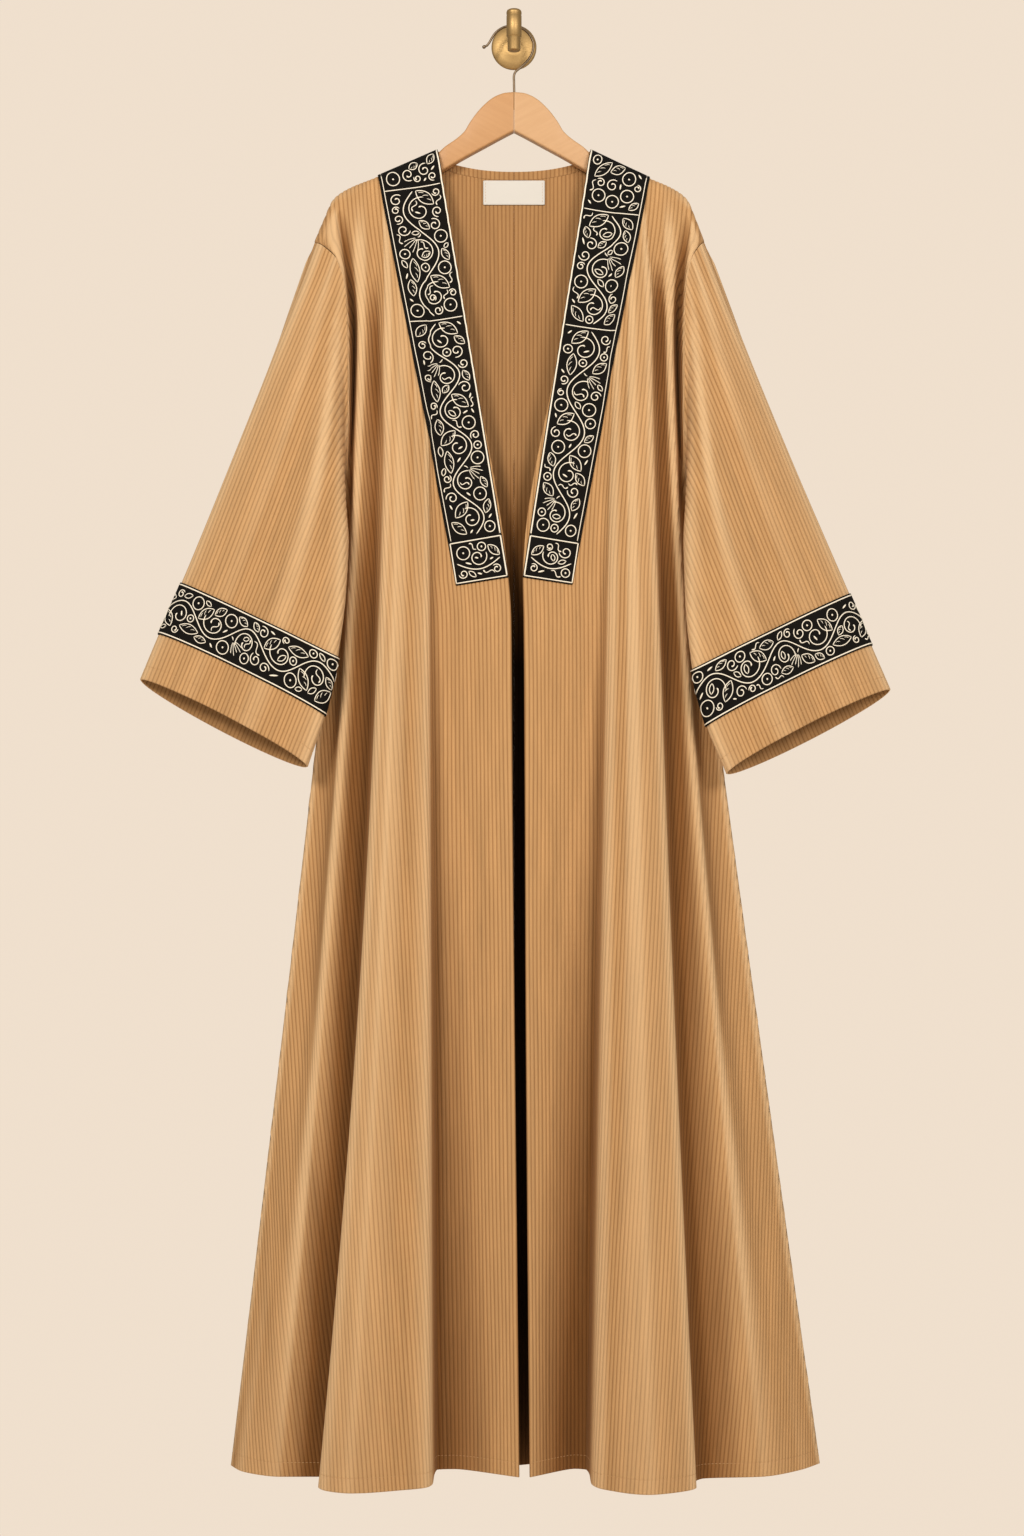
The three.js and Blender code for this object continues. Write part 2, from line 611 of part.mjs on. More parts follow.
// A closed shell between two distances along the normals of a grid.
function slab(piece, normals, from, to) {
  const { rows, closed } = piece;
  const width = rows[0].length;
  const positions = [];
  for (const distance of [to, from])
    rows.forEach((row, r) =>
      row.forEach((p, c) => {
        const at = p.clone().addScaledVector(normals[r][c], distance);
        positions.push(at.x, at.y, at.z);
      }),
    );
  const inner = rows.length * width;
  const index = (r, c) => r * width + c;
  const faces = [];
  const add = (a, b, c, d) => faces.push(a, b, c, a, c, d);
  for (const face of quads(piece)) {
    const [a, b, c, d] = face.map(([r, col]) => index(r, col));
    add(a, b, c, d);
    add(inner + a, inner + d, inner + c, inner + b);
  }
  const rim = (a, b) => add(a, inner + a, inner + b, b);
  const lastRow = rows.length - 1;
  for (let c = 0; c + (closed ? 0 : 1) < width; c++) {
    rim(index(0, c), index(0, (c + 1) % width));
    rim(index(lastRow, (c + 1) % width), index(lastRow, c));
  }
  for (let r = 0; !closed && r < lastRow; r++) {
    rim(index(r + 1, 0), index(r, 0));
    rim(index(r, width - 1), index(r + 1, width - 1));
  }
  const geometry = new THREE.BufferGeometry();
  geometry.setAttribute("position", new THREE.Float32BufferAttribute(positions, 3));
  geometry.setIndex(faces);
  return faceOut(geometry);
}

function signedVolume(geometry) {
  const at = geometry.attributes.position;
  const index = geometry.index.array;
  const [a, b, c] = [0, 0, 0].map(() => new THREE.Vector3());
  let volume = 0;
  for (let i = 0; i < index.length; i += 3) {
    [a, b, c].forEach((corner, n) => corner.fromBufferAttribute(at, index[i + n]));
    volume += a.dot(b.cross(c)) / 6;
  }
  return volume;
}

function faceOut(geometry) {
  if (signedVolume(geometry) < 0) {
    const index = geometry.index.array;
    for (let i = 0; i < index.length; i += 3) [index[i + 1], index[i + 2]] = [index[i + 2], index[i + 1]];
  }
  return geometry;
}

// A three.js geometry with only its positions, merged, facing out.
function closedShape(geometry) {
  const bare = geometry.clone();
  for (const name of Object.keys(bare.attributes)) if (name !== "position") bare.deleteAttribute(name);
  return faceOut(mergeVertices(bare, 1e-3));
}

function solid(geometry) {
  const closed = closedShape(geometry);
  return new wasm.Manifold(
    new wasm.Mesh({
      numProp: 3,
      vertProperties: new Float32Array(closed.attributes.position.array),
      triVerts: new Uint32Array(closed.index.array),
    }),
  );
}

function shapeOf(manifold) {
  const mesh = manifold.getMesh();
  const positions = [];
  for (let i = 0; i < mesh.numVert; i++)
    positions.push(...mesh.vertProperties.slice(i * mesh.numProp, i * mesh.numProp + 3));
  const geometry = new THREE.BufferGeometry();
  geometry.setAttribute("position", new THREE.Float32BufferAttribute(positions, 3));
  geometry.setIndex([...mesh.triVerts]);
  return geometry;
}

// A flat outline seen from the front, given as [x, down], carried out from the wall.
function frontPrism(sign, outline, depth) {
  const shape = new THREE.Shape(outline.map(([x, down]) => new THREE.Vector2(sign * x, -down)));
  return new THREE.ExtrudeGeometry(shape, { depth, bevelEnabled: false }).rotateX(Math.PI / 2);
}

const group = new THREE.Group();
function addMesh(name, geometry, material) {
  const bare = closedShape(geometry);
  bare.computeVertexNormals();
  const mesh = new THREE.Mesh(bare, new THREE.MeshStandardMaterial(MATERIALS[material]));
  mesh.name = name;
  group.add(mesh);
  return mesh;
}

// ---------------------------------------------------------------- the cloth pieces
// Shares of a panel's width between columns.
const PANEL_STEP = 0.055;
const BACK_STEP = 0.08;

function clothGrids(side) {
  const front = frontSurface(side);
  const back = backSurface(side);
  const sleeve = sleeveSurface(side, front, back);
  const binding = bindingSurface(side, back);
  const frontColumns = columns(side.folds.map((fold) => fold.u), PANEL_STEP);
  const backPlaces = [...BACK_FOLDS.map((fold) => fold.u), ...NECK_COLUMNS].sort((a, b) => a - b);
  const backColumns = columns(backPlaces, BACK_STEP);
  const neckColumns = backColumns.filter((u) => u <= NECK_U + 1e-6);
  const turns = Array.from({ length: 2 * TOP_ROWS }, (_, j) => j / (2 * TOP_ROWS));
  const isLeft = side.sign < 0;
  return {
    front: grid(PANEL_ROWS.map((v) => frontColumns.map((u) => front(u, v))), { flip: !isLeft }),
    back: grid(PANEL_ROWS.map((v) => backColumns.map((u) => back(u, v))), { flip: isLeft }),
    sleeve: grid(SLEEVE_RINGS.map((k) => turns.map((turn) => sleeve(turn, k))), {
      closed: true,
      flip: isLeft,
    }),
    neck_binding: grid([0, 0.5, 1].map((w) => neckColumns.map((u) => binding(u, w))), { flip: isLeft }),
  };
}

const cloth = { left: clothGrids(SIDES.left), right: clothGrids(SIDES.right) };
const normalAt = sharedNormals(Object.values(cloth).flatMap((pieces) => Object.values(pieces)));
const underarms = Object.values(cloth).map((pieces) => pieces.front.rows[TOP_ROWS].at(-1));

// The lapel band and its end block are cut from a shell that lies on the front panel.
function addLapel(name, side, panel, normals) {
  const lift = CLOTH / 2 + SEAM_GAP;
  const shell = solid(slab(panel, normals, lift, lift + BAND));
  const { outerTop, blockTop, blockFoot, pastEdgeX } = LAPEL;
  const slope = (blockTop.outerDown - blockTop.innerDown) / (blockTop.outerX - blockTop.innerX);
  const footSlope = (blockFoot.outerDown - blockFoot.innerDown) / (blockFoot.outerX - blockFoot.innerX);
  const topAt = (x) => blockTop.innerDown + slope * (x - blockTop.innerX);
  const footAt = (x) => blockFoot.innerDown + footSlope * (x - blockFoot.innerX);
  const band = [
    [pastEdgeX, outerTop.down],
    [outerTop.x, outerTop.down],
    [blockTop.outerX, blockTop.outerDown - SEAM_GAP / 2],
    [pastEdgeX, topAt(pastEdgeX) - SEAM_GAP / 2],
  ];
  const block = [
    [pastEdgeX, topAt(pastEdgeX) + SEAM_GAP / 2],
    [blockTop.outerX, blockTop.outerDown + SEAM_GAP / 2],
    [blockFoot.outerX, blockFoot.outerDown],
    [pastEdgeX, footAt(pastEdgeX)],
  ];
  const pastPanel = 150;
  for (const [part, outline] of [["lapel_band", band], ["lapel_end", block]]) {
    const cut = shell.intersect(solid(frontPrism(side.sign, outline, pastPanel)));
    addMesh(`${part}_${name}`, shapeOf(cut), "band");
  }
}

// The cuff band lies on the sleeve's own rings.
function addCuffBand(name, sleeve, normals) {
  const kept = SLEEVE_RINGS.flatMap((k, r) => (k >= CUFF_BAND.from && k <= CUFF_BAND.to ? [r] : []));
  const rows = kept.map((r) => sleeve.rows[r]);
  const lift = CLOTH / 2 + SEAM_GAP;
  const band = slab({ ...sleeve, rows }, kept.map((r) => normals[r]), lift, lift + BAND);
  addMesh(`cuff_band_${name}`, band, "band");
}

for (const [name, pieces] of Object.entries(cloth))
  for (const [part, piece] of Object.entries(pieces)) {
    const normals = wallNormals(piece, normalAt, underarms);
    const rows = insetRows(piece, underarms);
    addMesh(`${part}_${name}`, slab({ ...piece, rows }, normals, -CLOTH / 2, CLOTH / 2), "corduroy");
    if (part === "front") addLapel(name, SIDES[name], { ...piece, rows }, normals);
    if (part === "sleeve") addCuffBand(name, piece, normals);
  }

const label = new THREE.BoxGeometry(LABEL.width, LABEL.thick, LABEL.height);
label.translate(0, -LABEL.out, -LABEL.top - LABEL.height / 2);
addMesh("neck_label", label, "label");

// ---------------------------------------------------------------- the hanger
function hangerOutline() {
  const woodTop = (x) => {
    const cloth = Math.max(...Object.values(SIDES).map((side) => shoulderDown(side, x)));
    const atTip = smooth((x - TIP_CLEARANCE.fromX) / TIP_CLEARANCE.overX);
    return cloth + CLOTH_OVER_WOOD + TIP_CLEARANCE.extra * atTip;
  };
  const top = HANGER_TOP.map((row) => [row.x, row.down]);
  const topEnd = HANGER.tipX - HANGER_TIP[0].inward;
  const step = 10;
  for (let x = 92; x < topEnd - 1; x += step) top.push([x, woodTop(x)]);
  const tip = HANGER_TIP.map(({ inward, drop }) => [HANGER.tipX - inward, woodTop(topEnd) + drop]);
  return [...top, ...tip, ...HANGER_FOOT.map((row) => [row.x, row.down])];
}

function addHanger() {
  const half = hangerOutline();
  const outline = [...half, ...half.slice(1, -1).reverse().map(([x, down]) => [-x, down])];
  const shape = new THREE.Shape(outline.map(([x, down]) => new THREE.Vector2(x, -down)));
  const wood = new THREE.ExtrudeGeometry(shape, {
    depth: HANGER.thick - 2 * HANGER.round,
    bevelThickness: HANGER.round,
    bevelSize: HANGER.round,
    bevelOffset: -HANGER.round,
    bevelSegments: 3,
  });
  wood.rotateX(Math.PI / 2).translate(0, -HANGER_OUT + HANGER.thick / 2 - HANGER.round, 0);
  const bore = new THREE.CylinderGeometry(HANGER.boreRadius, HANGER.boreRadius, 60, 16);
  bore.rotateX(Math.PI / 2).translate(0, -HANGER_OUT, HANGER.boreDrop - HANGER.middleTop);
  const whole = solid(wood).subtract(solid(bore));
  const armRoom = 300;
  for (const [name, side] of Object.entries(SIDES)) {
    const room = new THREE.BoxGeometry(armRoom, armRoom, 2 * armRoom);
    room.translate((side.sign * (armRoom + SEAM_GAP)) / 2, -HANGER_OUT, 0);
    const arm = whole.intersect(solid(room));
    addMesh(`hanger_arm_${name}`, shapeOf(arm), name === "left" ? "darkWood" : "lightWood");
  }
}
addHanger();

function addHook() {
  const arc = Array.from({ length: HOOK_ARC.steps + 1 }, (_, i) => {
    const angle = THREE.MathUtils.degToRad(lerp(HOOK_ARC.from, HOOK_ARC.to, i / HOOK_ARC.steps));
    return {
      x: HOOK_ARC.x + HOOK_ARC.radius * Math.cos(angle),
      down: HOOK_ARC.down - HOOK_ARC.radius * Math.sin(angle),
    };
  });
  const route = [...HOOK_STEM, ...arc, ...HOOK_TIP];
  const points = route.map(({ x, down }) => new THREE.Vector3(x, -HANGER_OUT, -down));
  const path = new THREE.CatmullRomCurve3(points, false, "centripetal");
  const section = new THREE.Shape().absarc(0, 0, WIRE_RADIUS, 0, 2 * Math.PI);
  const wire = new THREE.ExtrudeGeometry(section, { steps: 44, curveSegments: 4, extrudePath: path });
  const bead = new THREE.SphereGeometry(HOOK_BEAD.radius, 10, 8);
  const end = points.at(-1);
  bead.translate(end.x, end.y, end.z - HOOK_BEAD.drop);
  addMesh("hanger_hook", shapeOf(solid(wire).add(solid(bead))), "steel");
}
addHook();

// ---------------------------------------------------------------- the wall hook
function turned(profile, sides) {
  return new THREE.LatheGeometry(profile.map(([radius, at]) => new THREE.Vector2(radius, at)), sides);
}

function addWallHook() {
  const sides = 24;
  addMesh("wall_plate", turned(ROSE.map(({ radius, out }) => [radius, -out]), 40), "brass");
  const bar = turned(BAR.map(({ radius, up }) => [radius, up]), sides);
  bar.rotateX(Math.PI / 2).translate(0, -BAR_OUT, 0);
  const root = new THREE.Vector3(0, 0, STEM.rootUp);
  const along = new THREE.Vector3(0, -BAR_OUT, STEM.headUp).sub(root);
  const length = along.length();
  along.normalize();
  // The stem starts behind the rose's face, where it is trimmed, and ends inside the bar.
  const stem = new THREE.CylinderGeometry(STEM.radius, STEM.radius, length + STEM.spare, sides);
  stem.applyQuaternion(new THREE.Quaternion().setFromUnitVectors(new THREE.Vector3(0, 1, 0), along));
  const middle = root.clone().addScaledVector(along, (length - STEM.spare) / 2);
  stem.translate(middle.x, middle.y, middle.z);
  const trimDepth = 60;
  const trim = new THREE.BoxGeometry(80, trimDepth, 80);
  trim.translate(0, trimDepth / 2 - ROSE.at(-1).out - SEAM_GAP, 0);
  addMesh("wall_peg", shapeOf(solid(bar).add(solid(stem).subtract(solid(trim)))), "brass");
}
addWallHook();

export default group;
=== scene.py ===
"""The looks of an open-front abaya in ribbed corduroy, on a wooden hanger and a brass wall hook.

Shapes are worked out in millimetres, for one side of the garment at a time: x outward from its middle, out
from the wall (-y) and down below the origin (-z). They become metres when a mesh is made.
"""

import math

import bpy
import numpy as np
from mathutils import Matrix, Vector


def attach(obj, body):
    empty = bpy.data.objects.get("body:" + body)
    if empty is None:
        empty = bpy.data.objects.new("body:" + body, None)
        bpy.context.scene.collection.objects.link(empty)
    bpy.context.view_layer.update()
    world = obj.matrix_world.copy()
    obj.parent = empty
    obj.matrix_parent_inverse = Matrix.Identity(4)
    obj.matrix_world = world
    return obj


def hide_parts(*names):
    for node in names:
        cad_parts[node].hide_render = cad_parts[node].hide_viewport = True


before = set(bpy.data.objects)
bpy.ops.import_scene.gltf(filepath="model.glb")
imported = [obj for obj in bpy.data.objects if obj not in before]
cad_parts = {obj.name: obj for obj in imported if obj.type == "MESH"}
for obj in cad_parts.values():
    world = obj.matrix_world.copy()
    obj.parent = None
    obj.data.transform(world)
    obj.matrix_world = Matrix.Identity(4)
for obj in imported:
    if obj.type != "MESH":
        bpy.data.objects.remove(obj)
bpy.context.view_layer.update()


# ---------------------------------------------------------------- small mathematics
def lerp(a, b, t):
    return a + (b - a) * t


def smooth(t):
    t = np.clip(t, 0, 1)
    return t * t * (3 - 2 * t)


def unit(vectors):
    return vectors / np.maximum(np.linalg.norm(vectors, axis=-1, keepdims=True), 1e-12)


def table(names, *rows):
    """Rows of numbers, as a dictionary of named columns."""
    return {name: np.array(column, float) for name, column in zip(names.split(), zip(*rows))}


def run_along(points):
    """How far along a line each of its points lies."""
    return np.concatenate([[0], np.cumsum(np.linalg.norm(np.diff(points, axis=0), axis=1))])


def running_sum(steps):
    """The sums along each row, from 0."""
    return np.concatenate([np.zeros((len(steps), 1)), np.cumsum(steps, axis=1)], axis=1)


def curve(xs, ys):
    """A curve through points that never overshoots them; it runs on straight past its ends."""
    xs, ys = np.asarray(xs, float), np.asarray(ys, float)
    rise = np.diff(ys) / np.diff(xs)
    before, after = rise[:-1], rise[1:]
    together = before * after > 0
    inner = np.where(together, 2 * before * after / np.where(together, before + after, 1), 0)
    slope = np.concatenate([rise[:1], inner, rise[-1:]])

    def at(x):
        x = np.asarray(x, float)
        i = np.clip(np.searchsorted(xs, x) - 1, 0, len(xs) - 2)
        width = xs[i + 1] - xs[i]
        t = (x - xs[i]) / width
        t2, t3 = t * t, t * t * t
        inside = (
            ys[i] * (2 * t3 - 3 * t2 + 1)
            + ys[i + 1] * (3 * t2 - 2 * t3)
            + width * (slope[i] * (t3 - 2 * t2 + t) + slope[i + 1] * (t3 - t2))
        )
        low = ys[0] + slope[0] * (x - xs[0])
        high = ys[-1] + slope[-1] * (x - xs[-1])
        return np.where(x < xs[0], low, np.where(x > xs[-1], high, inside))

    return at


# ---------------------------------------------------------------- sizes of the garment
CLOTH = 2.0
BAND = 1.4
SEAM_GAP = 0.3
HANGER_OUT = 26
WRAP = 11.5  # how far the cloth stands before and behind the hanger's middle plane
CHEST_DOWN, UNDERARM_DOWN, HEM_DOWN = 330, 484, 1567
NECK_X, NECK_DOWN, NECK_BOW = 83.6, 122.4, 2.3
NECK_EDGE = {"x": NECK_X, "back_down": 142}
BINDING_EDGE = {"x": 91.9, "back_down": 151}
OVER_WOOD = {"share": 0.88, "x": 5}
UNDERARM_OUT = 36
FOLD_DEEPENING = 1.1
LENGTH = HEM_DOWN - NECK_DOWN

EDGE = "down x out"
FOLDS = "u top_x chest_x hem_x bend chest_out hem_out"
SLEEVE = "k x down out"
SIDES = {
    "left": {
        "sign": -1,
        "shoulder_x": 219,
        "armhole_x": 181.5,
        "side_seam": {"hem_x": 311, "hem_out": 25},
        "edge": table(
            EDGE,
            (122.4, 83.6, 37.5),
            (330, 49.4, 50),
            (590, 6.5, 52),
            (640, 3.3, 53),
            (800, 2.2, 56),
            (1050, 0, 61),
            (1567, -5.4, 68),
        ),
        "folds": table(
            FOLDS,
            (0.14, 96, 68, 64.5, 1, 50, 38),
            (0.255, 104, 84, 84, 1, 50, 40),
            (0.29, 108, 92, 87.5, 1, 51, 62),
            (0.315, 112, 95, 88, 1, 54, 92),
            (0.34, 115, 99, 93, 1, 56, 104),
            (0.42, 122, 108, 120, 1.2, 60, 114),
            (0.54, 133, 124, 173, 1.7, 63, 125),
            (0.59, 139, 134, 200, 1.7, 62, 116),
            (0.615, 142, 138, 208, 1.7, 60, 104),
            (0.64, 146, 141, 205, 1.7, 54, 84),
            (0.67, 152, 149.5, 201, 1.6, 45, 66),
            (0.82, 171, 167, 253.6, 1.4, 55, 66),
            (0.92, 194, 174, 296, 1.7, 38, 47),
        ),
        "sleeve_outer": table(
            SLEEVE,
            (0, 219, 222.5, 26),
            (0.25, 261.3, 343.2, 30),
            (0.5, 308.1, 463.3, 34),
            (0.78, 363, 598.5, 38),
            (0.9, 387.5, 654.4, 39),
            (1, 408, 703.7, 40),
        ),
        "sleeve_inner": table(
            SLEEVE,
            (0, 185.2, 484, 36),
            (0.05, 188, 499, 38),
            (0.11, 186.5, 514, 48),
            (0.18, 182.5, 532, 61),
            (0.26, 179.5, 552, 72),
            (0.5, 182, 611.5, 80),
            (0.78, 190.4, 680.6, 84),
            (0.9, 204.8, 743.4, 82),
            (1, 223, 797.8, 80),
        ),
    },
    "right": {
        "sign": 1,
        "shoulder_x": 209,
        "armhole_x": 186,
        "side_seam": {"hem_x": 337, "hem_out": 17},
        "edge": table(
            EDGE,
            (122.4, 83.6, 37.5),
            (330, 50.9, 50),
            (590, 9.8, 52),
            (640, 10.9, 53),
            (800, 12, 56),
            (1050, 13, 61),
            (1567, 17.3, 68),
        ),
        "folds": table(
            FOLDS,
            (0.14, 96, 74, 66, 1, 50, 37),
            (0.255, 106, 98, 79, 1, 50, 40),
            (0.29, 110, 105, 83, 1, 51, 62),
            (0.315, 113, 109, 83.5, 1, 54, 90),
            (0.34, 116, 113, 88, 1, 57, 104),
            (0.4, 122, 120, 100, 1.2, 60, 114),
            (0.52, 133, 130, 143, 1.7, 64, 130),
            (0.585, 139, 144, 184, 1.3, 62, 116),
            (0.61, 141, 148, 193.5, 1.3, 60, 106),
            (0.635, 144, 150, 194, 1.3, 54, 87),
            (0.68, 154, 159, 206, 1.4, 45, 72),
            (0.82, 171, 170, 268, 1.4, 56, 66),
            (0.92, 192, 178, 312, 1.7, 38, 42),
        ),
        "sleeve_outer": table(
            SLEEVE,
            (0, 209, 222.5, 26),
            (0.25, 254.7, 343.2, 30),
            (0.5, 303.3, 463.3, 34),
            (0.78, 366.2, 610.5, 38),
            (0.9, 390, 666.5, 39),
            (1, 410.8, 714.7, 40),
        ),
        "sleeve_inner": table(
            SLEEVE,
            (0, 188.5, 484, 36),
            (0.05, 191, 499, 38),
            (0.11, 189.5, 514, 48),
            (0.18, 186, 532, 61),
            (0.26, 183.8, 552, 72),
            (0.5, 185.3, 619, 80),
            (0.78, 192.5, 694, 84),
            (0.9, 208.3, 754.8, 82),
            (1, 229.4, 805.4, 80),
        ),
    },
}

SHOULDER = table(
    "reach down",
    (0, NECK_DOWN),
    (0.5, 151.8),
    (0.72, 164),
    (0.84, 175.2),
    (0.92, 197.2),
    (1, 222.5),
)
SHOULDER_END_DOWN = SHOULDER["down"][-1]
ARMHOLE = table(
    "drop reach front_out back_out",
    (0, 1, 26, 26),
    (4, 0.813, 37.5, 16),
    (10, 0.613, 42, 15),
    (22, 0.323, 48, 14),
    (57, 0.067, 52, 14),
    (118, 0, 54, 14),
    (195, 0, 52, 16),
    (240, 0.04, 46, 22),
    (UNDERARM_DOWN - SHOULDER_END_DOWN, 0.1, UNDERARM_OUT, UNDERARM_OUT),
)
NECK_U = 0.46  # the back's column that meets the end of the binding
BACK_FOLDS = table(
    "u chest_out hem_out",
    (0, 16, 25),
    (0.17, 13, 10),
    (0.36, 15, 38),
    (NECK_U, 14, 25),
    (0.55, 13, 12),
    (0.72, 15, 34),
    (0.88, 14, 12),
)
BACK_SHOULDER = table("u x", (NECK_U, 91.9), (0.55, 112), (0.72, 150), (0.88, 188))
SLEEVE_FULLNESS = table(
    "k front back", (0, 24, 16), (0.25, 28, 14), (0.5, 26, 16), (0.78, 22, 18), (1, 19, 20)
)
SLEEVE_CREASES = table("across width out", (0.64, 0.1, 5), (0.4, 0.09, -4))
SLEEVE_LIP = {"above": 0.004, "at_cuff": 0.016, "from": 0.8, "behind": 1.1}
UNDERARM_CLEAR = {"out": 14, "over": 0.05, "until": 0.15, "fade": 0.2}
DRAWN_OVER = 0.3  # the part of the sleeve that is drawn to the armhole
SLEEVE_ROUND = 0.75  # below 1, the sleeve's section is fuller than a circle
CREASE_RISE = 1.5
ARMHOLE_SPREAD = 2.2
SIDE_SEAM_BEND = 1.05
TOP_FADE = {"over": 0.6, "power": 1.8}
ON_HANGER_V = 0.1  # rows up to this one can lie over the hanger
CUFF_BAND = (0.78, 0.9)
LAPEL_LINES = {"left": (38, 187), "right": (66, 196)}
LAPEL = {
    "outer_top": (158.1, 100),
    "block_top": ((9.8, 544.1), (71.9, 552.8)),
    "block_foot": ((6.5, 592), (63.2, 597.4)),
}
HANGER_TOP = table(
    "x down",
    (0, 57.8),
    (10, 58.7),
    (18.7, 61.6),
    (25, 65.2),
    (30.4, 69.6),
    (38.7, 78),
    (48.4, 91),
    (54.2, 100.7),
    (63.8, 109.4),
    (74.8, 117),
    (NECK_X, 124.1),
)
CLOTH_OVER_WOOD = 1.7

# ---------------------------------------------------------------- the garment's surfaces
shoulder_drop = curve(SHOULDER["reach"], SHOULDER["down"])
hanger_top = curve(HANGER_TOP["x"], HANGER_TOP["down"])
armhole = {name: curve(ARMHOLE["drop"], ARMHOLE[name]) for name in ("reach", "front_out", "back_out")}


def shoulder_down(side, x):
    """How far down the shoulder line lies at x; inside the neck it goes on up along the hanger."""
    over_arm = shoulder_drop((x - NECK_X) / (side["shoulder_x"] - NECK_X))
    return np.where(x < NECK_X, hanger_top(x) - CLOTH_OVER_WOOD, over_arm)


def neck_curve(side, end, share):
    """x, down and the turn over the wood, round the back neck from the middle to the shoulder line."""
    rest = np.clip((share - OVER_WOOD["share"]) / (1 - OVER_WOOD["share"]), 0, 1)
    turn = rest * np.pi / 2
    wood_x = end["x"] - OVER_WOOD["x"]
    over_x = lerp(wood_x, end["x"], rest)
    over_down = shoulder_down(side, over_x) + WRAP * (1 - np.sin(turn))
    part = np.minimum(share / OVER_WOOD["share"], 1)
    foot = shoulder_down(side, wood_x) + WRAP
    behind_down = lerp(end["back_down"], foot, part**NECK_BOW)
    over = rest > 0
    return np.where(over, over_x, wood_x * part), np.where(over, over_down, behind_down), turn


def over_hanger(side, x, out, down):
    """The cloth leaves the shoulder line level and turns down over a quarter round."""
    t = np.clip((down - shoulder_down(side, x)) / WRAP, 0, 1)
    return HANGER_OUT + (out - HANGER_OUT) * np.sqrt(1 - (1 - t) ** 2)


def seam_point(side, down, face):
    """x and out of a panel's last column: the armhole above the underarm, the side seam below it."""
    drop = down - SHOULDER_END_DOWN
    armhole_x = lerp(side["armhole_x"], side["shoulder_x"], armhole["reach"](drop))
    t = np.clip((down - UNDERARM_DOWN) / (HEM_DOWN - UNDERARM_DOWN), 0, 1)
    underarm_x = lerp(side["armhole_x"], side["shoulder_x"], ARMHOLE["reach"][-1])
    above = down <= UNDERARM_DOWN
    x = np.where(above, armhole_x, lerp(underarm_x, side["side_seam"]["hem_x"], t**SIDE_SEAM_BEND))
    seam_out = lerp(UNDERARM_OUT, side["side_seam"]["hem_out"], t)
    return x, np.where(above, armhole[face + "_out"](drop), seam_out)


def row_down(v, top_down):
    """A row's height: level at the hem, and parallel to the shoulder at the top."""
    fade = (1 - np.minimum(1, v / TOP_FADE["over"])) ** TOP_FADE["power"]
    return lerp(NECK_DOWN, HEM_DOWN, v) + (top_down - NECK_DOWN) * fade


def find_underarm_row():
    low, high = 0.1, 0.4
    for _ in range(50):
        middle = (low + high) / 2
        if row_down(middle, SHOULDER_END_DOWN) < UNDERARM_DOWN:
            low = middle
        else:
            high = middle
    return (low + high) / 2


UNDERARM_V = find_underarm_row()


def along_fold(top, chest, hem, bend, down, top_down):
    """A measure of a fold line at a height: from the shoulder to the chest, then on to the hem."""
    upper = lerp(top, chest, smooth((down - top_down) / (CHEST_DOWN - top_down)))
    t = np.maximum(down - CHEST_DOWN, 0) / (HEM_DOWN - CHEST_DOWN)
    return np.where(down < CHEST_DOWN, upper, lerp(chest, hem, t**bend))


def front_grid(side, us, vs):
    """Points (x, out, down) of the front panel, a row for each v and a column for each u."""
    folds, edge = side["folds"], side["edge"]
    edge_x, edge_out = curve(edge["down"], edge["x"]), curve(edge["down"], edge["out"])
    places = np.concatenate([[0], folds["u"], [1]])
    top_x = curve(places, np.concatenate([[NECK_X], folds["top_x"], [side["shoulder_x"]]]))
    line_top = shoulder_down(side, top_x(places))
    column_top = shoulder_down(side, top_x(us))
    rows = []
    for v in vs:
        downs = row_down(v, line_top)
        at = (downs[1:-1], line_top[1:-1])
        fold_x = along_fold(folds["top_x"], folds["chest_x"], folds["hem_x"], folds["bend"], *at)
        fold_out = along_fold(
            HANGER_OUT + WRAP, folds["chest_out"], folds["hem_out"], FOLD_DEEPENING, *at
        )
        seam_x, seam_out = seam_point(side, downs[-1], "front")
        x = curve(places, np.concatenate([[edge_x(downs[0])], fold_x, [seam_x]]))(us)
        out = curve(places, np.concatenate([[edge_out(downs[0])], fold_out, [seam_out]]))(us)
        down = row_down(v, column_top)
        if v <= ON_HANGER_V:
            out = over_hanger(side, x, out, down)
        rows.append(np.stack([x, out, down], axis=1))
    return np.array(rows)


def back_x(side, u, down, top_x, top_down):
    """The back's x: its place on the top edge, eased into its share of the half width by the chest."""
    seam_x = seam_point(side, np.maximum(down, SHOULDER_END_DOWN), "back")[0]
    return lerp(top_x, u * seam_x, smooth((down - top_down) / (CHEST_DOWN - top_down)))


def back_top(side, u):
    """x and down of the back's top edge: under the binding, then along the shoulder."""
    shoulder_x = curve(
        np.append(BACK_SHOULDER["u"], 1), np.append(BACK_SHOULDER["x"], side["shoulder_x"])
    )(u)
    neck_x, neck_down, _ = neck_curve(side, BINDING_EDGE, np.minimum(u / NECK_U, 1))
    in_neck = u < NECK_U
    return (
        np.where(in_neck, neck_x, shoulder_x),
        np.where(in_neck, neck_down, shoulder_down(side, shoulder_x)),
    )


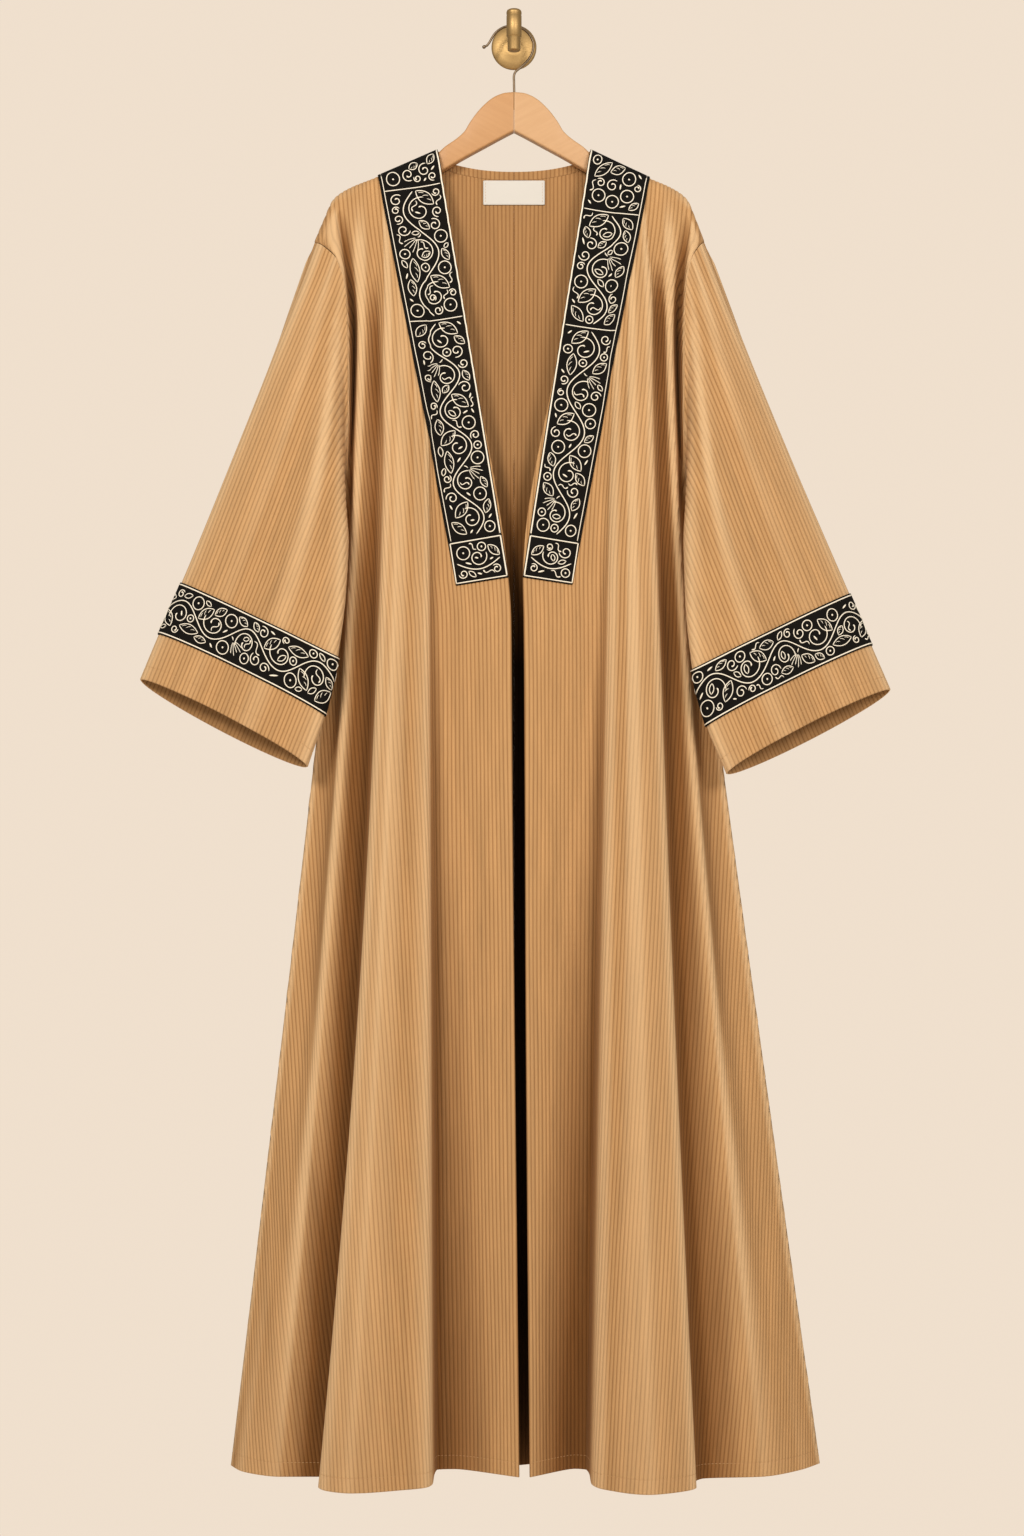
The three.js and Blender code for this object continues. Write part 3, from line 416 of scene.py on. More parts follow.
def back_grid(side, us, vs):
    """Points (x, out, down) of the back panel, a row for each v and a column for each u."""
    places = np.append(BACK_FOLDS["u"], 1)
    line_x, line_top = back_top(side, places)
    column_x, column_top = back_top(side, us)
    rows = []
    for v in vs:
        downs = row_down(v, line_top)
        fold_out = along_fold(
            HANGER_OUT - WRAP,
            BACK_FOLDS["chest_out"],
            BACK_FOLDS["hem_out"],
            FOLD_DEEPENING,
            downs[:-1],
            line_top[:-1],
        )
        seam_x, seam_out = seam_point(side, downs[-1], "back")
        xs = np.append(back_x(side, places, downs, line_x, line_top)[:-1], seam_x)
        down = row_down(v, column_top)
        straight = back_x(side, us, down, column_x, column_top)
        x = np.where(us < NECK_U, straight, curve(places, xs)(us))
        out = curve(places, np.append(fold_out, seam_out))(us)
        if v <= ON_HANGER_V:
            out = over_hanger(side, x, out, down)
        rows.append(np.stack([x, out, down], axis=1))
    return np.array(rows)


def binding_grid(side, us, ws):
    """The neck binding, from the garment's neck edge (w = 0) to the back panel's top edge (w = 1)."""
    head_x, head_down, turn = neck_curve(side, NECK_EDGE, us / NECK_U)
    foot_x, foot_down, _ = neck_curve(side, BINDING_EDGE, us / NECK_U)
    rows = []
    for w in ws:
        x = lerp(head_x, foot_x, w)
        over = shoulder_down(side, x) + WRAP * (1 - np.sin(turn))
        down = np.where(turn > 0, over, lerp(head_down, foot_down, w))
        rows.append(np.stack([x, HANGER_OUT - WRAP * np.cos(turn), down], axis=1))
    return np.array(rows)


def sleeve_tube(side, turn, k):
    """A point of the sleeve before it is drawn to the armhole: turn 0 is its outer edge, 0.5 its inner."""
    angle = 2 * np.pi * turn
    across = (1 - np.cos(angle)) / 2
    swing = np.sin(angle)
    in_front = swing > 0
    at_cuff = smooth((k - SLEEVE_LIP["from"]) / (1 - SLEEVE_LIP["from"]))
    lip = lerp(SLEEVE_LIP["above"], SLEEVE_LIP["at_cuff"], at_cuff)
    at = k - lip * np.where(in_front, 1, SLEEVE_LIP["behind"]) * swing * smooth(k / 0.5)
    outer, inner = side["sleeve_outer"], side["sleeve_inner"]
    x, down, out = (
        lerp(curve(outer["k"], outer[name])(at), curve(inner["k"], inner[name])(at), across)
        for name in ("x", "down", "out")
    )
    front = curve(SLEEVE_FULLNESS["k"], SLEEVE_FULLNESS["front"])(k)
    back = curve(SLEEVE_FULLNESS["k"], SLEEVE_FULLNESS["back"])(k)
    bulge = np.abs(swing) ** SLEEVE_ROUND * np.where(in_front, front, -back)
    crease = sum(
        c_out * np.exp(-(((across - c_across) / c_width) ** 2))
        for c_across, c_width, c_out in zip(*SLEEVE_CREASES.values())
    )
    crease = crease * smooth(k / DRAWN_OVER) * np.minimum(1, swing * CREASE_RISE)
    crease = np.where(in_front, crease, 0)
    ending = smooth((k - UNDERARM_CLEAR["until"]) / UNDERARM_CLEAR["fade"])
    clearing = smooth(k / UNDERARM_CLEAR["over"]) * (1 - ending)
    clear = UNDERARM_CLEAR["out"] * np.maximum(0, -swing) * clearing
    return np.stack([x + clear, out + bulge + crease, down], axis=-1)


def armhole_row(turn):
    """The panels' row that the sleeve meets at a turn."""
    return UNDERARM_V * (2 * np.abs(turn)) ** ARMHOLE_SPREAD


def sleeve_grid(side, turns, ks):
    """Points of the sleeve, a row for each k; turns run from -0.5, behind, to 0.5, in front."""
    turn, k = np.meshgrid(turns, ks)
    points = sleeve_tube(side, turn, k)
    rows = armhole_row(turns)
    front = front_grid(side, np.array([1.0]), rows)[:, 0]
    back = back_grid(side, np.array([1.0]), rows)[:, 0]
    seam = np.where((turns >= 0)[:, None], front, back)
    shift = seam - sleeve_tube(side, turns, np.zeros_like(turns))
    return points + shift[None] * (1 - smooth(k / DRAWN_OVER))[..., None]


# ---------------------------------------------------------------- meshes
SOFT_EDGE = 0.6  # how far a turned edge rounds out
ALL_EDGES = ("top", "start", "hem", "end")


def to_metres(points, sign=1):
    return np.stack([sign * points[..., 0], -points[..., 1], -points[..., 2]], axis=-1) / 1000


def make_object(name, points, faces, material, values=None):
    """A smooth mesh object; values are point attributes, numbers or vectors."""
    mesh = bpy.data.meshes.new(name)
    mesh.from_pydata(points.tolist(), [], faces)
    for key, data in (values or {}).items():
        data = np.asarray(data, np.float32)
        kind, field = ("FLOAT_VECTOR", "vector") if data.ndim == 2 else ("FLOAT", "value")
        mesh.attributes.new(key, kind, "POINT").data.foreach_set(field, data.ravel())
    mesh.polygons.foreach_set("use_smooth", np.ones(len(mesh.polygons), bool))
    mesh.update()
    obj = bpy.data.objects.new(name, mesh)
    bpy.context.scene.collection.objects.link(obj)
    mesh.materials.append(material)
    return obj


def merged(points):
    """The first of each set of points that coincide, and which set each point is in."""
    keys = np.round(points * 1e6).astype(np.int64) + 2**20
    code = (keys[:, 0] << 42) + (keys[:, 1] << 21) + keys[:, 2]
    _, first, same = np.unique(code, return_index=True, return_inverse=True)
    return first, same.ravel()


def clean_faces(faces):
    """Quads with a doubled corner become triangles; those with no area go."""
    kept = []
    for face in faces.tolist():
        corners = [c for i, c in enumerate(face) if c != face[i - 1]]
        if len(set(corners)) == len(corners) >= 3:
            kept.append(corners)
    return kept


def shell(name, outer, inner, sign, material, values=None, soft=()):
    """A closed wall between two grids of points; the soft edges of it round out a little."""
    rows, cols = outer.shape[:2]
    size = rows * cols
    index = np.arange(size).reshape(rows, cols)
    points = [outer.reshape(-1, 3), inner.reshape(-1, 3)]
    sources = [np.arange(size), np.arange(size)]
    count = 2 * size

    a, b, c, d = index[:-1, :-1], index[:-1, 1:], index[1:, 1:], index[1:, :-1]
    front = np.stack([a, b, c, d], axis=-1).reshape(-1, 4)
    faces = [front, front[:, ::-1] + size]
    middle = ((outer + inner) / 2).reshape(-1, 3)
    # The four edges, each with its neighbours inside the sheet, one after the other round the sheet.
    edges = {
        "top": (index[0, ::-1], index[1, ::-1]),
        "start": (index[:, 0], index[:, 2]),
        "hem": (index[-1], index[-2]),
        "end": (index[::-1, -1], index[::-1, -3]),
    }
    corners = []
    for edge, (line, inside) in edges.items():
        rings = [line, line + size]
        extra = None
        if edge in soft:
            away = unit(middle[line] - middle[inside])
            points.append(middle[line] + away * SOFT_EDGE)
            sources.append(line)
            extra = np.arange(count, count + len(line))
            rings.insert(1, extra)
            count += len(line)
        for near, far in zip(rings, rings[1:]):
            faces.append(np.stack([near[:-1], near[1:], far[1:], far[:-1]], axis=-1))
        corners.append((line, extra))
    for (line, before), (_, after) in zip(corners, corners[1:] + corners[:1]):
        if before is None and after is None:
            continue
        corner = line[-1]
        mid_after = corner if after is None else after[0]
        mid_before = corner if before is None else before[-1]
        faces.append(np.array([[corner, mid_after, corner + size, mid_before]]))
    points = to_metres(np.concatenate(points), sign)
    faces = np.concatenate(faces)

    p = points[front]
    facing = np.cross(p[:, 2] - p[:, 0], p[:, 3] - p[:, 1])
    if ((points[front[:, 0]] - points[front[:, 0] + size]) * facing).sum() < 0:
        faces = faces[:, ::-1]
    first, same = merged(points)
    source = np.concatenate(sources)[first]
    is_inner = (first >= size) & (first < 2 * size)
    kept = {}
    for key, data in (values or {}).items():
        kept[key] = np.asarray(data).reshape(size, -1).squeeze()[source]
    # The wrong side takes its painted shade in place of its openness, and no painted highlight.
    if "open" in kept:
        kept["open"] = np.where(is_inner, kept.pop("inside"), kept["open"])
        kept["crest_highlight"] = np.where(is_inner, 0, kept["crest_highlight"])
    return make_object(name, points[first], clean_faces(same[faces]), material, kept)


def swept_faces(count, sides, first=0):
    """The faces of a closed tube of rings, and its two ends."""
    index = first + np.arange(count * sides).reshape(count, sides)
    after = np.roll(index, -1, axis=1)
    faces = np.stack([index[:-1], after[:-1], after[1:], index[1:]], axis=-1).reshape(-1, 4).tolist()
    return faces + [index[0, ::-1].tolist(), index[-1].tolist()]


# ---------------------------------------------------------------- ribbed cloth
RIB_PITCH = 4.45
# Across one rib: its place, the pile's height there and how pale it is, with painted shade in the groove.
RIB_PROFILE = table(
    "phase height tone",
    (0, -0.6, 0),
    (0.17, 0.0, 0.8),
    (0.5, 0.14, 1),
    (0.83, 0.0, 0.8),
)
RIB_LEAN = 0.6  # how far the ribs stand straighter than the neck opening's edge
INNER_RELIEF = 0.4  # the ribs' height on the cloth's wrong side
SEAM_SINK = 0.35
STITCH_SINK = 0.25
# Painted shade of the wrong side: how bright it is, down the garment and along a sleeve.
WRONG_SIDE_SHADE = table(
    "down tone",
    (0, 0.55),
    (440, 0.53),
    (600, 0.3),
    (680, 0.08),
    (1400, 0.08),
    (1567, 0.2),
)
# Painted shade, beside what the folds give: how much more or less open the front's columns are below the
# chest.
FRONT_SHADE = table(
    "u more",
    (0, 0.06),
    (0.2, 0.08),
    (0.26, 0),
    (0.63, 0),
    (0.66, -0.16),
    (0.75, -0.17),
    (0.8, -0.08),
    (0.88, -0.04),
    (1, -0.04),
)
SHADE_FROM = {"down": 430, "over": 260}
# Painted shade inside a sleeve, along it.
SLEEVE_WRONG_SIDE_SHADE = table("down tone", (0, 0.4), (420, 0.5), (550, 0.56))
# Painted shade of the columns squeezed against a seam: as dark as a groove at the start, paler at the end.
SEAM_SHADE_TONES = {"start": 0.0, "end": 0.7}
WOBBLE = table("height across along", (0.5, 17, 95), (0.3, 7.3, -61))
CENTRE_GAP = 0.02  # the centre-back seam is sewn shut

WRAP_ROWS = np.array([0, 0.4, 1.2, 2.5, 4.5, 7, 10, 14, 19, 25])
HEM_STITCH = 15
HEM_ROWS = np.array([17, 15.8, 15, 14.2, 13, 7, 1, 0])
HEM_STITCH_ROW = -1 - list(HEM_ROWS[::-1]).index(HEM_STITCH)
ROW_STEP = 15
CUFF_LENGTH = 550  # millimetres of sleeve to one k, near the cuff
PANEL_US = np.linspace(0, 1, 321)
SLEEVE_TURNS = np.linspace(-0.5, 0.5, 361)
X, OUT, DOWN = 0, 1, 2
VERTICAL = np.array([0.0, 0.0, 1.0])
OUTWARD = np.array([0.0, 1.0, 0.0])


def panel_rows():
    start, end = WRAP_ROWS[-1] / LENGTH, 1 - HEM_ROWS[0] / LENGTH
    upper = np.linspace(start, UNDERARM_V, round((UNDERARM_V - start) * LENGTH / ROW_STEP))
    lower = np.linspace(UNDERARM_V, end, round((end - UNDERARM_V) * LENGTH / ROW_STEP))
    return np.concatenate([WRAP_ROWS[:-1] / LENGTH, upper, lower[1:-1], 1 - HEM_ROWS / LENGTH])


def sleeve_rows():
    start, end = WRAP_ROWS[-1] / CUFF_LENGTH, 1 - HEM_ROWS[0] / CUFF_LENGTH
    middle = np.linspace(start, end, round((end - start) * CUFF_LENGTH / ROW_STEP))
    return np.concatenate([WRAP_ROWS[:-1:2] / CUFF_LENGTH, middle[:-1], 1 - HEM_ROWS / CUFF_LENGTH])


def grid_normals(points, us, vs, outward):
    """Unit normals of a grid; outward is +1 where they follow row x column, and -1 the other way."""
    along = np.gradient(points, vs, axis=0)
    across = np.gradient(points, us, axis=1)
    return outward * unit(np.cross(along, across))


def rib_distance(points, direction):
    """How far across the ribs each point of a row lies from the row's start."""
    step = np.diff(points, axis=1)
    along = np.einsum("rmk,rk->rm", step, direction)
    across = np.sqrt(np.maximum((step**2).sum(axis=2) - along**2, 1e-8))
    return running_sum(across)


CREASE_END = 25  # no crease reaches nearer to a seam at its full depth
CREASE_FADE = 0.8


def add_creases(points, normals, q, downs, creases):
    """Soft troughs and ridges: each runs between two places, and fades out at its ends."""
    for start_down, end_down, start_q, end_q, width, depth in zip(*creases.values()):
        t = (downs - start_down) / (end_down - start_down)
        middle = lerp(start_q, end_q, t)[:, None]
        fade = np.where((t > 0) & (t < 1), np.sin(np.pi * np.clip(t, 0, 1)) ** CREASE_FADE, 0)[:, None]
        ends = smooth((q - q[:, :1]) / CREASE_END) * smooth((q[:, -1:] - q) / CREASE_END)
        lift = depth * fade * ends * np.exp(-(((q - middle) / width) ** 2))
        points = points + normals * lift[..., None]
    return points


OPEN_SOFTNESS = 3.0
OUTER_EDGE = {"from": 0.16, "over": 0.16}  # in turns round a sleeve


def openness(points, facing):
    """How open each point is to the side that it faces: 1 on a flat stretch, less in a deep fold."""
    result = np.ones(points.shape[:2])
    for r, row in enumerate(points):
        x, out = row[:, X], facing * row[:, OUT]
        apart = np.abs(np.subtract.outer(x, x)) + OPEN_SOFTNESS
        rise = np.maximum(-np.subtract.outer(out, out), 0)
        height = rise / np.hypot(rise, apart)
        result[r] = 1 - (np.tril(height).max(axis=1) + np.triu(height).max(axis=1)) / 2
    return result


BEND_WINDOW = 11  # columns over which the turn is evened out
CREST_BEND = 0.05  # radians of turn a millimetre where a fold counts as sharp


def sharpness(normals, q, facing):
    """How sharply each row turns outward there, from 0 to 1."""
    # A tube's columns run the other way round from a front's.
    way = facing or -1
    angle = np.unwrap(np.arctan2(normals[..., X], way * normals[..., OUT]), axis=1)
    bend = np.stack([np.gradient(a, d) for a, d in zip(angle, q)])
    window = np.hanning(BEND_WINDOW)
    bend = np.stack([np.convolve(row, window / window.sum(), mode="same") for row in bend])
    return np.clip(bend / CREST_BEND, 0, 1)


def rib_columns(q, lengths, first_gap, *fields):
    """Fields of the surface in columns that follow the ribs, with their places, heights and painted shade.
    """
    low, high = q[:, :1] + first_gap / 2, q[:, -1:] - SEAM_GAP / 2
    numbers = np.arange(math.floor(q.min() / RIB_PITCH), math.ceil(q.max() / RIB_PITCH) + 1)
    targets = ((numbers[:, None] + RIB_PROFILE["phase"][None]) * RIB_PITCH).ravel()
    heights = np.tile(RIB_PROFILE["height"], len(numbers))
    groove_shade = np.tile(RIB_PROFILE["tone"], len(numbers))
    targets = np.concatenate([[q.min() - RIB_PITCH], targets, [q.max() + 2 * RIB_PITCH]])
    # The ribs waver a little, as woven ones do.
    waver = sum(
        height * np.sin(targets[None] / across + lengths[:, None] / along)
        for height, across, along in zip(*WOBBLE.values())
    )
    wanted = np.clip(targets[None] + waver, low, high)
    at_start, at_end = wanted <= low, wanted >= high
    heights = np.where(at_start | at_end, -SEAM_SINK, np.pad(heights, 1)[None])
    groove_shade = np.where(at_start, SEAM_SHADE_TONES["start"], np.pad(groove_shade, 1)[None])
    groove_shade = np.where(at_end, SEAM_SHADE_TONES["end"], groove_shade)
    flat = np.concatenate([f if f.ndim == 3 else f[..., None] for f in fields], axis=2)
    found = np.empty((*wanted.shape, flat.shape[2]))
    for r in range(len(q)):
        for i in range(flat.shape[2]):
            found[r, :, i] = np.interp(wanted[r], q[r], flat[r, :, i])
    return found, wanted, heights, groove_shade


def tube_openness(points):
    """Openness round a sleeve: each half faces its own side, and the outer edge hides nothing."""
    middle = points.shape[1] // 2
    behind, before = openness(points[:, :middle], -1), openness(points[:, middle:], 1)
    from_edge = np.abs(np.linspace(-0.5, 0.5, points.shape[1]))
    share = smooth((from_edge - OUTER_EDGE["from"]) / OUTER_EDGE["over"])
    return 1 - (1 - np.concatenate([behind, before], axis=1)) * share


def cloth_piece(
    name, side, surface, lengths, material, inside, facing, soft, stitch_rows, gap, shade=None
):
    """A ribbed cloth wall round a surface; facing is 1 for a front, -1 for a back and 0 for a tube."""
    points, normals, q = surface
    is_open = openness(points, facing) if facing else tube_openness(points)
    if shade is not None:
        more = np.interp(np.linspace(0, 1, points.shape[1]), shade["u"], shade["more"])
        is_open = is_open + more * smooth((lengths - SHADE_FROM["down"]) / SHADE_FROM["over"])[:, None]
    # The material paints shade into deep folds from the openness, and a highlight on sharp crests.
    fold = np.stack([is_open, sharpness(normals, q, facing)], axis=-1)
    found, place, heights, groove_shade = rib_columns(q, lengths, gap, points, normals, fold)
    p, n = found[..., :3], unit(found[..., 3:6])
    for row in stitch_rows:
        heights[row] = np.minimum(heights[row], 0) - STITCH_SINK
    outer = p + n * (CLOTH / 2 + heights)[..., None]
    inner = p - n * (CLOTH / 2 + heights * INNER_RELIEF)[..., None]
    length = np.broadcast_to(lengths[:, None], place.shape)
    cloth = np.stack([place, length, np.zeros_like(place)], axis=-1)
    inside_shade = np.interp(length, inside["down"], inside["tone"])
    values = {
        "rib": groove_shade,
        "cloth": cloth,
        "open": found[..., 6],
        "crest_highlight": found[..., 7],
        "inside": inside_shade,
    }
    values = {key: data.reshape(-1, 3) if data.ndim == 3 else data for key, data in values.items()}
    return shell(name, outer, inner, side["sign"], material, values, soft)


def level(vectors, axis):
    """The same normals without their share along one axis."""
    vectors = vectors.copy()
    vectors[..., axis] = 0
    return unit(vectors)


FACING_OUT = {"from": 0.35, "over": 0.3}


def sleeve_rib_distance(sleeve, normals, middle):
    """Ribs that run straight along the sleeve's outer edge, seen from the front or from behind."""
    outer = sleeve[:, middle]
    grain = unit(outer[-1] - outer[0])
    square = unit(np.cross(grain, OUTWARD))
    step = np.diff(sleeve, axis=1)
    around = np.sqrt(np.maximum((step**2).sum(axis=2) - (step @ grain) ** 2, 1e-8))
    flat = np.abs(step @ square)
    facing = np.abs(normals[:, 1:, OUT])
    share = smooth((facing - FACING_OUT["from"]) / FACING_OUT["over"])
    q = running_sum(lerp(around, flat, share))
    return q - q[:, middle : middle + 1]


CREASE = "start_down end_down start_q end_q width depth"
FRONT_CREASES = {
    "left": table(
        CREASE,
        (175, 520, 128, 118, 9, 2.2),
        (190, 470, 108, 92, 8, -1.8),
        (400, 900, 66, 78, 12, -1.5),
        (620, 1240, 150, 175, 14, 2.0),
        (900, 1567, 270, 330, 15, -2.4),
        (760, 1500, 300, 372, 13, 2.0),
    ),
    "right": table(
        CREASE,
        (180, 500, 122, 112, 9, 2.0),
        (195, 450, 100, 86, 8, -1.6),
        (430, 960, 70, 80, 12, -1.4),
        (600, 1180, 148, 170, 13, 1.8),
        (860, 1567, 262, 310, 14, -2.2),
        (800, 1540, 300, 392, 14, 2.2),
    ),
}
BACK_CREASES = table(
    CREASE,
    (170, 620, 60, 52, 12, 2.2),
    (190, 540, 118, 104, 10, -2.0),
    (230, 700, 160, 150, 12, 1.8),
    (560, 1300, 34, 40, 14, -1.8),
    (640, 1500, 150, 190, 15, 2.4),
    (800, 1567, 225, 290, 14, -2.2),
)
SLEEVE_FOLDS = {
    "left": table(
        CREASE,
        (20, 330, 40, 60, 9, -2.0),
        (60, 430, 96, 118, 10, 2.2),
        (150, 500, 150, 176, 9, -1.8),
    ),
    "right": table(
        CREASE,
        (20, 310, 46, 58, 9, 2.0),
        (90, 450, 88, 120, 10, -2.0),
        (130, 500, 148, 170, 9, 1.9),
    ),
}
BINDING_ROWS = np.array([0, 0.06, 0.3, 0.7, 0.94, 1])


def at_rows(rows, known_rows, values):
    return np.stack([np.interp(rows, known_rows, values[:, i]) for i in range(values.shape[1])], axis=1)


def clothe(name, side, material):
    """The corduroy pieces of one side, and the surfaces that the bands and stitches lie on."""
    vs, ks = panel_rows(), sleeve_rows()
    us, turns = PANEL_US, SLEEVE_TURNS
    in_neck = us <= NECK_U + 1e-9
    neck_us = us[in_neck]
    front, back = front_grid(side, us, vs), back_grid(side, us, vs)
    sleeve = sleeve_grid(side, turns, ks)
    binding = binding_grid(side, neck_us, BINDING_ROWS)
    front_n = grid_normals(front, us, vs, 1)
    back_n = grid_normals(back, us, vs, -1)
    sleeve_n = grid_normals(sleeve, turns, ks, -1)
    binding_n = grid_normals(binding, neck_us, BINDING_ROWS, -1)

    # Seams are mitred: the armhole, the side seam, and the binding's foot.
    above = (vs <= UNDERARM_V).sum()
    meets = 0.5 * (vs[:above] / UNDERARM_V) ** (1 / ARMHOLE_SPREAD)
    ring = sleeve_n[0].copy()
    for panel_n, way in ((front_n, 1), (back_n, -1)):
        seam_n = panel_n[:, -1].copy()
        half = turns * way >= 0
        sleeve_n[0, half] = unit(ring[half] + at_rows(armhole_row(turns[half]), vs, seam_n))
        panel_n[:above, -1] = unit(seam_n[:above] + at_rows(way * meets, turns, ring))
    front_n[above:, -1] = back_n[above:, -1] = unit(front_n[above:, -1] + back_n[above:, -1])
    sleeve_n[:, 0] = sleeve_n[:, -1] = unit(sleeve_n[:, 0] + sleeve_n[:, -1])
    binding_n[-1] = back_n[0, in_neck] = unit(binding_n[-1] + back_n[0, in_neck])
    front_n[0] = level(front_n[0], OUT)
    back_n[0, us >= NECK_U] = level(back_n[0, us >= NECK_U], OUT)
    binding_n[:, -1] = level(binding_n[:, -1], OUT)
    back_n[:, 0] = level(back_n[:, 0], X)
    binding_n[:, 0] = level(binding_n[:, 0], X)

    # The pieces stand half a gap back from their seams.
    for grid in (front, back, sleeve):
        grid[0] += unit(grid[1] - grid[0]) * SEAM_GAP / 2
    binding[-1] += unit(binding[-2] - binding[-1]) * SEAM_GAP / 2

    # How far each point lies across the ribs.
    edge_x = curve(side["edge"]["down"], side["edge"]["x"])
    heights = row_down(vs, NECK_DOWN)
    vee_down = LAPEL["block_foot"][0][1]
    recess = np.maximum(edge_x(np.minimum(heights, vee_down)) - edge_x(vee_down), 0)
    front_q = RIB_LEAN * recess[:, None] + rib_distance(front, np.broadcast_to(VERTICAL, (len(vs), 3)))
    back_q = rib_distance(back, np.broadcast_to(VERTICAL, (len(vs), 3)))
    middle = len(turns) // 2
    sleeve_q = sleeve_rib_distance(sleeve, sleeve_n, middle)
    binding_way = unit(binding[-1].mean(axis=0) - binding[0].mean(axis=0))
    binding_q = rib_distance(binding, np.broadcast_to(binding_way, (len(binding), 3)))

    sleeve_heights = ks * CUFF_LENGTH
    front = add_creases(front, front_n, front_q, heights, FRONT_CREASES[name])
    back = add_creases(back, back_n, back_q, heights, BACK_CREASES)
    sleeve = add_creases(sleeve, sleeve_n, sleeve_q, sleeve_heights, SLEEVE_FOLDS[name])

    binding_lengths = BINDING_ROWS * (BINDING_EDGE["back_down"] - NECK_EDGE["back_down"])
    surfaces = {
        "front": (front, front_n, front_q),
        "back": (back, back_n, back_q),
        "sleeve": (sleeve, sleeve_n, sleeve_q),
        "neck_binding": (binding, binding_n, binding_q),
    }
    ways = {
        "front": (heights, material, WRONG_SIDE_SHADE, 1, ("start", "hem")),
        "back": (heights, material, WRONG_SIDE_SHADE, -1, ("hem",)),
        "sleeve": (sleeve_heights, material, SLEEVE_WRONG_SIDE_SHADE, 0, ("hem",)),
        "neck_binding": (binding_lengths, material, WRONG_SIDE_SHADE, -1, ("top",)),
    }
    pieces = {}
    for part, way in ways.items():
        rows = () if part == "neck_binding" else (HEM_STITCH_ROW,)
        gap = CENTRE_GAP if part in ("back", "neck_binding") else SEAM_GAP
        pieces[part] = cloth_piece(
            f"{part}_{name}_corduroy",
            side,
            surfaces[part],
            *way,
            stitch_rows=rows,
            gap=gap,
            shade=FRONT_SHADE if part == "front" else None,
        )
    del surfaces["neck_binding"]
    return pieces, surfaces


# ---------------------------------------------------------------- bands
LIFT = CLOTH / 2 + SEAM_GAP  # from the cloth's middle to a band's underside
LAPEL_CHART_U = 0.68  # the columns of the front that the lapel can lie on


def front_chart(surface):
    """Gives points and normals of the front panel at (x, down)."""
    points, normals, _ = surface
    cols = round(LAPEL_CHART_U * points.shape[1])
    both = np.concatenate([points, normals], axis=2)[: len(points) // 2, :cols]

    def at(x, down):
        x, down = np.broadcast_arrays(np.asarray(x, float), np.asarray(down, float))
        flat_x, flat_down = x.ravel(), down.ravel()
        found = np.array([[np.interp(flat_x, row[:, X], row[:, i]) for i in range(6)] for row in both])
        i = np.clip((found[:, DOWN] < flat_down).sum(axis=0) - 1, 0, len(both) - 2)
        n = np.arange(len(flat_x))
        low, high = found[i, :, n], found[i + 1, :, n]
        t = np.clip((flat_down - low[:, DOWN]) / (high[:, DOWN] - low[:, DOWN]), 0, 1)
        mixed = lerp(low, high, t[:, None])
        return mixed[:, :3].reshape(*x.shape, 3), unit(mixed[:, 3:]).reshape(*x.shape, 3)

    return at


def grid_chart(surface, columns, rows):
    """Gives points and normals of a surface at its column and row values."""
    both = np.concatenate(surface[:2], axis=2)

    def at(column, row):
        column, row = np.broadcast_arrays(np.asarray(column, float), np.asarray(row, float))
        j = np.clip(np.searchsorted(columns, column) - 1, 0, len(columns) - 2)
        i = np.clip(np.searchsorted(rows, row) - 1, 0, len(rows) - 2)
        s = ((column - columns[j]) / (columns[j + 1] - columns[j]))[..., None]
        t = ((row - rows[i]) / (rows[i + 1] - rows[i]))[..., None]
        mixed = lerp(lerp(both[i, j], both[i, j + 1], s), lerp(both[i + 1, j], both[i + 1, j + 1], s), t)
        return mixed[..., :3], unit(mixed[..., 3:])

    return at


def lay_band(name, side, place, across, along, material):
    """A flat band laid on the cloth, over a grid of its own places across and along."""
    points, normals = place(across, along)
    weave = np.stack([across, along, np.zeros_like(across)], axis=-1).reshape(-1, 3)
    low, high = points + normals * LIFT, points + normals * (LIFT + BAND)
    return shell(name, high, low, side["sign"], material, {"cloth": weave}, ALL_EDGES)


class Lapel:
    """The band's own frame: across from the front's edge, and along from the neck point."""

    def __init__(self, side, chart):
        self.edge_x = curve(side["edge"]["down"], side["edge"]["x"])
        self.chart = chart
        foot = LAPEL["block_foot"][0][1]
        self.top = np.array([NECK_X, NECK_DOWN])
        self.along = unit(np.array([self.edge_x(foot), foot]) - self.top)
        self.across = np.array([self.along[1], -self.along[0]])
        # The outer edge runs straight from the shoulder line to the block.
        outer_top, outer_block = np.array(LAPEL["outer_top"]), np.array(LAPEL["block_top"][1])
        ts = np.linspace(0, 0.3, 400)
        line = outer_top + (outer_block - outer_top) * ts[:, None]
        at_shoulder = np.argmax(line[:, 1] >= shoulder_down(side, line[:, 0]))
        self.side = side
        self.outer_top = line[at_shoulder]
        self.outer_block = outer_block
        self.length = self.to_band(self.edge_point(LAPEL["block_top"][0][1] + 0.6))[1]
        self.foot = self.to_band(self.edge_point(foot))[1]
        self.slant = self.to_band(self.outer_top)[1]

    def edge_point(self, down):
        return np.array([self.edge_x(down), down])

    def to_band(self, point):
        return (point - self.top) @ self.across, (point - self.top) @ self.along

    def width(self, along):
        top, block = self.to_band(self.outer_top), self.to_band(self.outer_block)
        return lerp(top[0], block[0], (along - top[1]) / (block[1] - top[1]))

    def start(self, across):
        """Where the band starts, along its length: at the shoulder line."""
        x = lerp(NECK_X, self.outer_top[0], across / self.width(0))
        down = shoulder_down(self.side, x)
        return (x - self.top[0]) * self.along[0] + (down - self.top[1]) * self.along[1]

    def place(self, across, along):
        at = self.top + np.multiply.outer(across, self.across) + np.multiply.outer(along, self.along)
        return self.chart(at[..., 0], at[..., 1])


